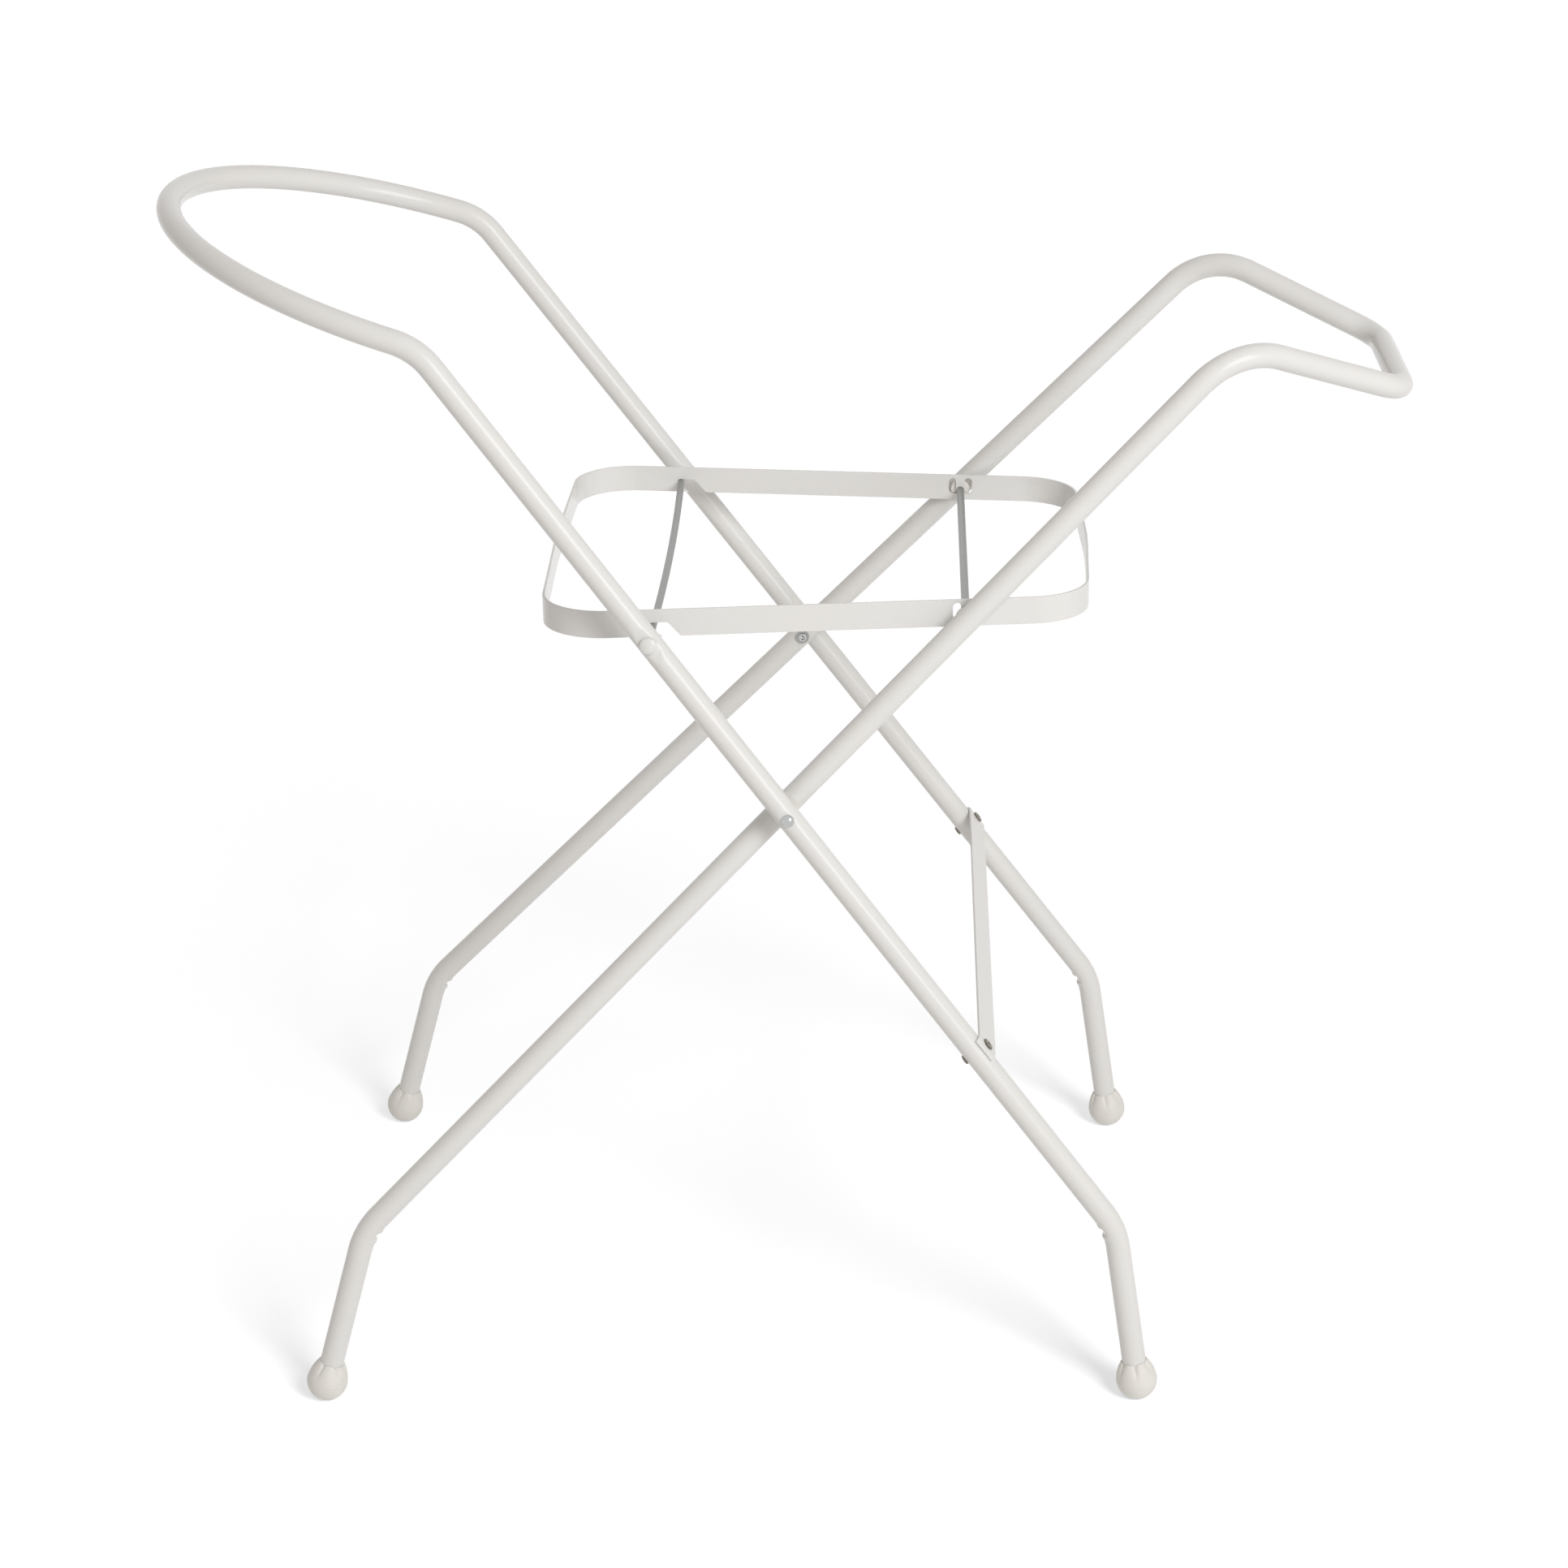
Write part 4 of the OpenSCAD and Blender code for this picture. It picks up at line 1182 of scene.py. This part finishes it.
def brace_place():
    """The strap's place: X down the leg, Z square to it and outwards, on the middle plane."""
    slope = stand().outer.slope
    point = outer_point(-stand().brace.place)
    x = Vector((math.cos(slope), 0, -math.sin(slope)))
    z = Vector((math.sin(slope), 0, math.cos(slope)))
    turn = Matrix((x, ACROSS, z)).transposed().to_4x4()
    return Matrix.Translation(Vector((point.x, 0, point.z))) @ turn


def make_strap():
    """The strap, bent over the legs. It has no holes for its rivets."""
    brace = stand().brace
    half = outer_point(-brace.place).y
    height = stand().tube.diameter / 2 + brace.gap + brace.thickness / 2
    guard, wrap_steps = 2 * MM, 18
    bm = bmesh.new()
    ends = [bm.verts.new((side * brace.width / 2, 0, height)) for side in (-1, 1)]
    row = [bm.edges.new(ends)]
    row = carry(bm, row, ACROSS * (half - guard))
    row = carry(bm, row, ACROSS * guard)
    turn_row(bm, row, Vector((0, half, 0)), ALONG, -brace.wrap, wrap_steps)
    mirror_across(bm)
    strap = sheet("brace_strap_painted", bm, brace.thickness, offset=0)
    rounded(strap, brace.edge)
    settle(strap)
    strap.data.transform(brace_place())
    stand_for(strap, "brace_strap", finish_of(powder_coat), sharp=None)


def rivet_place(side):
    """A brace rivet's place: on the leg's axis, Z square to the leg and outwards."""
    outer = stand().outer
    down = (outer_point(-outer.down, side) - outer_point(outer.up, side)).normalized()
    return facing(outer_point(-stand().brace.place, side), down.cross(ACROSS).normalized(), down)


def make_brace_rivets():
    f, brace = stand().fixings, stand().brace
    tube = stand().tube.diameter / 2
    head, shank, bore = f.brace_head_d / 2, f.brace_d / 2, f.brace_bore / 2
    top = tube + brace.gap + brace.thickness
    tail = -tube - f.brace_head_t
    tail_r = head - 1 * MM
    roll, slack = f.brace_head_t / 2, 0.1 * MM
    wall_from, wall_to = tail + 3 * MM, -2 * MM
    under = -math.sqrt(tube ** 2 - tail_r ** 2)
    outline = (
        [(bore, wall_to), (bore, top + slack)]
        + arc((bore + roll, top + roll), roll, 180, 90, 5)
        + arc((head - roll, top + roll), roll, 90, -90, 8)
        + [(shank, top), (shank, under), (tail_r, under)]
        + arc((tail_r - roll, tail + roll), roll, 0, -90, 5)
        + arc((bore + roll, tail + roll), roll, -90, -180, 5)
        + [(bore, wall_from)])
    for place, side in SIDES.items():
        turned_piece(f"brace_rivet_{place}_rolled", f"brace_rivet_{place}", outline,
                     rivet_place(side), dark_bronze, facets=56)


# ---- Stage ----

def seen_directly(tree):
    """1 for camera, glossy and transmission rays, which should meet plain white, and 0 for others."""
    path = add(tree, "ShaderNodeLightPath")
    some = add(tree, "ShaderNodeMath", {
        0: path.outputs["Is Camera Ray"], 1: path.outputs["Is Glossy Ray"]}, operation="MAXIMUM")
    return add(tree, "ShaderNodeMath", {
        0: some.outputs[0], 1: path.outputs["Is Transmission Ray"]}, operation="MAXIMUM").outputs[0]


def make_floor():
    stage = stand().stage
    below_feet = 0.1 * MM
    bm = bmesh.new()
    bmesh.ops.create_circle(bm, cap_ends=True, radius=stage.floor_radius, segments=64,
                            matrix=Matrix.Translation(-UP * below_feet))
    floor = object_from("floor", bm)
    material, tree = new_finish("studio_floor_white")
    where = add(tree, "ShaderNodeTexCoord").outputs["Object"]
    matt = add(tree, "ShaderNodeBsdfDiffuse", {"Color": stage.floor_colour})
    # Matt white under a lamp of power P, at height h and distance D and F in front of it, gives off
    # P h F / (pi^2 D^4). What that and the even light leave of the floor's level is added here, so
    # that the floor has one level and no tint wherever no shadow lies
    aim = (Vector(stage.aim) - Vector(stage.key_place)).normalized()
    away = add(tree, "ShaderNodeVectorMath", {0: where, 1: stage.key_place}, operation="SUBTRACT")
    ahead = add(tree, "ShaderNodeVectorMath", {
        0: away.outputs[0], 1: aim}, operation="DOT_PRODUCT").outputs["Value"]
    ahead = add(tree, "ShaderNodeMath", {0: ahead, 1: 0}, operation="MAXIMUM").outputs[0]
    distance = add(tree, "ShaderNodeVectorMath", {0: away.outputs[0]}, operation="LENGTH")
    fall = add(tree, "ShaderNodeMath", {0: distance.outputs["Value"], 1: -4}, operation="POWER")
    fall = add(tree, "ShaderNodeMath", {0: fall.outputs[0], 1: ahead}, operation="MULTIPLY")
    white = stage.floor_colour[0]
    lamp_part = -white * stage.key * stage.key_place[2] / math.pi ** 2
    even = [stage.floor_level - white * stage.fill * tone for tone in stage.fill_colour[:3]]
    rest = add(tree, "ShaderNodeVectorMath", {
        0: fall.outputs[0], 1: (lamp_part,) * 3, 2: even}, operation="MULTIPLY_ADD")
    rest = add(tree, "ShaderNodeVectorMath", {0: rest.outputs[0], 1: (0, 0, 0)}, operation="MAXIMUM")
    lift = add(tree, "ShaderNodeEmission", {
        "Color": rest.outputs[0], "Strength": seen_directly(tree)})
    both = add(tree, "ShaderNodeAddShader", {0: matt.outputs[0], 1: lift.outputs[0]})
    add(tree, "ShaderNodeOutputMaterial", {"Surface": both.outputs[0]})
    floor.data.materials.append(material)


def make_world():
    world = bpy.data.worlds.new("studio")
    world.use_nodes = True
    tree = world.node_tree
    tree.nodes.clear()
    stage = stand().stage
    seen = seen_directly(tree)
    strength = add(tree, "ShaderNodeMapRange", {"Value": seen, "To Min": stage.fill, "To Max": 1})
    tone = add(tree, "ShaderNodeMix", {
        0: seen, 6: stage.fill_colour, 7: linear("#FFFFFF")}, data_type="RGBA")
    sky = add(tree, "ShaderNodeBackground", {
        "Color": tone.outputs[2], "Strength": strength.outputs[0]})
    add(tree, "ShaderNodeOutputWorld", {"Surface": sky.outputs[0]})
    bpy.context.scene.world = world


def make_lamp(name, power, size, place, target):
    data = bpy.data.lights.new(name, "AREA")
    data.shape = "RECTANGLE"
    data.size, data.size_y = size
    data.energy = power
    lamp = bpy.data.objects.new(name, data)
    lamp.location = place
    lamp.rotation_euler = (Vector(target) - Vector(place)).to_track_quat("-Z", "Y").to_euler()
    bpy.context.scene.collection.objects.link(lamp)
    return lamp


def make_camera():
    """The photograph's camera: a long lens at head height, looking down about 21 degrees."""
    data = bpy.data.cameras.new("camera")
    data.sensor_width = 36
    data.lens = 87.175
    data.shift_x = 0.00083
    data.shift_y = -0.00146
    camera = bpy.data.objects.new("camera", data)
    camera.location = (0.104964, -3.071385, 1.634676)
    camera.rotation_euler = [math.radians(a) for a in (68.9971, 0.8162, 1.7824)]
    bpy.context.scene.collection.objects.link(camera)
    bpy.context.scene.camera = camera


def make_stage():
    stage = stand().stage
    make_floor()
    make_world()
    key = make_lamp("key", stage.key, stage.key_size, stage.key_place, stage.aim)
    key.visible_glossy = False
    card = make_lamp("card", stage.card, stage.card_size, stage.card_place, stage.aim)
    card.visible_diffuse = False
    make_camera()
    bpy.context.scene.view_settings.view_transform = "Standard"


# ---- Operators ----

class OuterFrameOperator(bpy.types.Operator):
    """Bend the outer frame's tube, with its round end loop"""
    bl_idname = "bath_stand.outer_frame"
    bl_label = "Outer Frame"

    def execute(self, context):
        make_outer_frame()
        return {"FINISHED"}


class InnerFrameOperator(bpy.types.Operator):
    """Bend the inner frame's tube, with its square end loop"""
    bl_idname = "bath_stand.inner_frame"
    bl_label = "Inner Frame"

    def execute(self, context):
        make_inner_frame()
        return {"FINISHED"}


class FeetOperator(bpy.types.Operator):
    """Mould the four petalled feet"""
    bl_idname = "bath_stand.feet"
    bl_label = "Feet"

    def execute(self, context):
        make_feet()
        return {"FINISHED"}


class PivotsOperator(bpy.types.Operator):
    """Set the pivot rivets with their washers and spacers"""
    bl_idname = "bath_stand.pivots"
    bl_label = "Pivots"

    def execute(self, context):
        make_pivots()
        return {"FINISHED"}


class LatchOperator(bpy.types.Operator):
    """Fit the latch rod and its painted caps"""
    bl_idname = "bath_stand.latch"
    bl_label = "Latch Rod"

    def execute(self, context):
        make_latch()
        return {"FINISHED"}


class LockRingOperator(bpy.types.Operator):
    """Form the lock ring with its notches and windows"""
    bl_idname = "bath_stand.lock_ring"
    bl_label = "Lock Ring"

    def execute(self, context):
        make_lock_ring()
        return {"FINISHED"}


class RingAxleOperator(bpy.types.Operator):
    """Fit the ring's rod and its bushes"""
    bl_idname = "bath_stand.ring_axle"
    bl_label = "Ring Rod"

    def execute(self, context):
        make_ring_axle()
        return {"FINISHED"}


class BraceOperator(bpy.types.Operator):
    """Form the brace strap over the outer legs"""
    bl_idname = "bath_stand.brace"
    bl_label = "Brace Strap"

    def execute(self, context):
        make_strap()
        return {"FINISHED"}


class BraceRivetsOperator(bpy.types.Operator):
    """Set the hollow rivets of the brace strap"""
    bl_idname = "bath_stand.brace_rivets"
    bl_label = "Brace Rivets"

    def execute(self, context):
        make_brace_rivets()
        return {"FINISHED"}


class StageOperator(bpy.types.Operator):
    """Set up the floor, lamps and camera"""
    bl_idname = "bath_stand.stage"
    bl_label = "Stage"

    def execute(self, context):
        make_stage()
        return {"FINISHED"}


OPERATORS = (
    OuterFrameOperator, InnerFrameOperator, FeetOperator, PivotsOperator, LatchOperator,
    LockRingOperator, RingAxleOperator, BraceOperator, BraceRivetsOperator, StageOperator)


class BathStandPanel(bpy.types.Panel):
    """The pieces of the bath stand, with the sizes that they use"""
    bl_idname = "VIEW3D_PT_bath_stand"
    bl_label = "Bath Stand"
    bl_space_type = "VIEW_3D"
    bl_region_type = "UI"
    bl_category = "Bath Stand"

    def draw(self, context):
        layout = self.layout
        for operator in OPERATORS:
            layout.operator(operator.bl_idname)
        for name in GROUPS:
            box = layout.box()
            box.label(text=name.title())
            group = getattr(context.scene.bath_stand, name)
            for field in group.__annotations__:
                box.prop(group, field)


CLASSES = (*GROUPS.values(), BathStand, *OPERATORS, BathStandPanel)


def register():
    for item in CLASSES:
        bpy.utils.register_class(item)
    bpy.types.Scene.bath_stand = bpy.props.PointerProperty(type=BathStand)


def unregister():
    del bpy.types.Scene.bath_stand
    for item in reversed(CLASSES):
        bpy.utils.unregister_class(item)


def main():
    register()
    for operator in OPERATORS:
        group, name = operator.bl_idname.split(".")
        getattr(getattr(bpy.ops, group), name)()


if __name__ == "__main__":
    main()
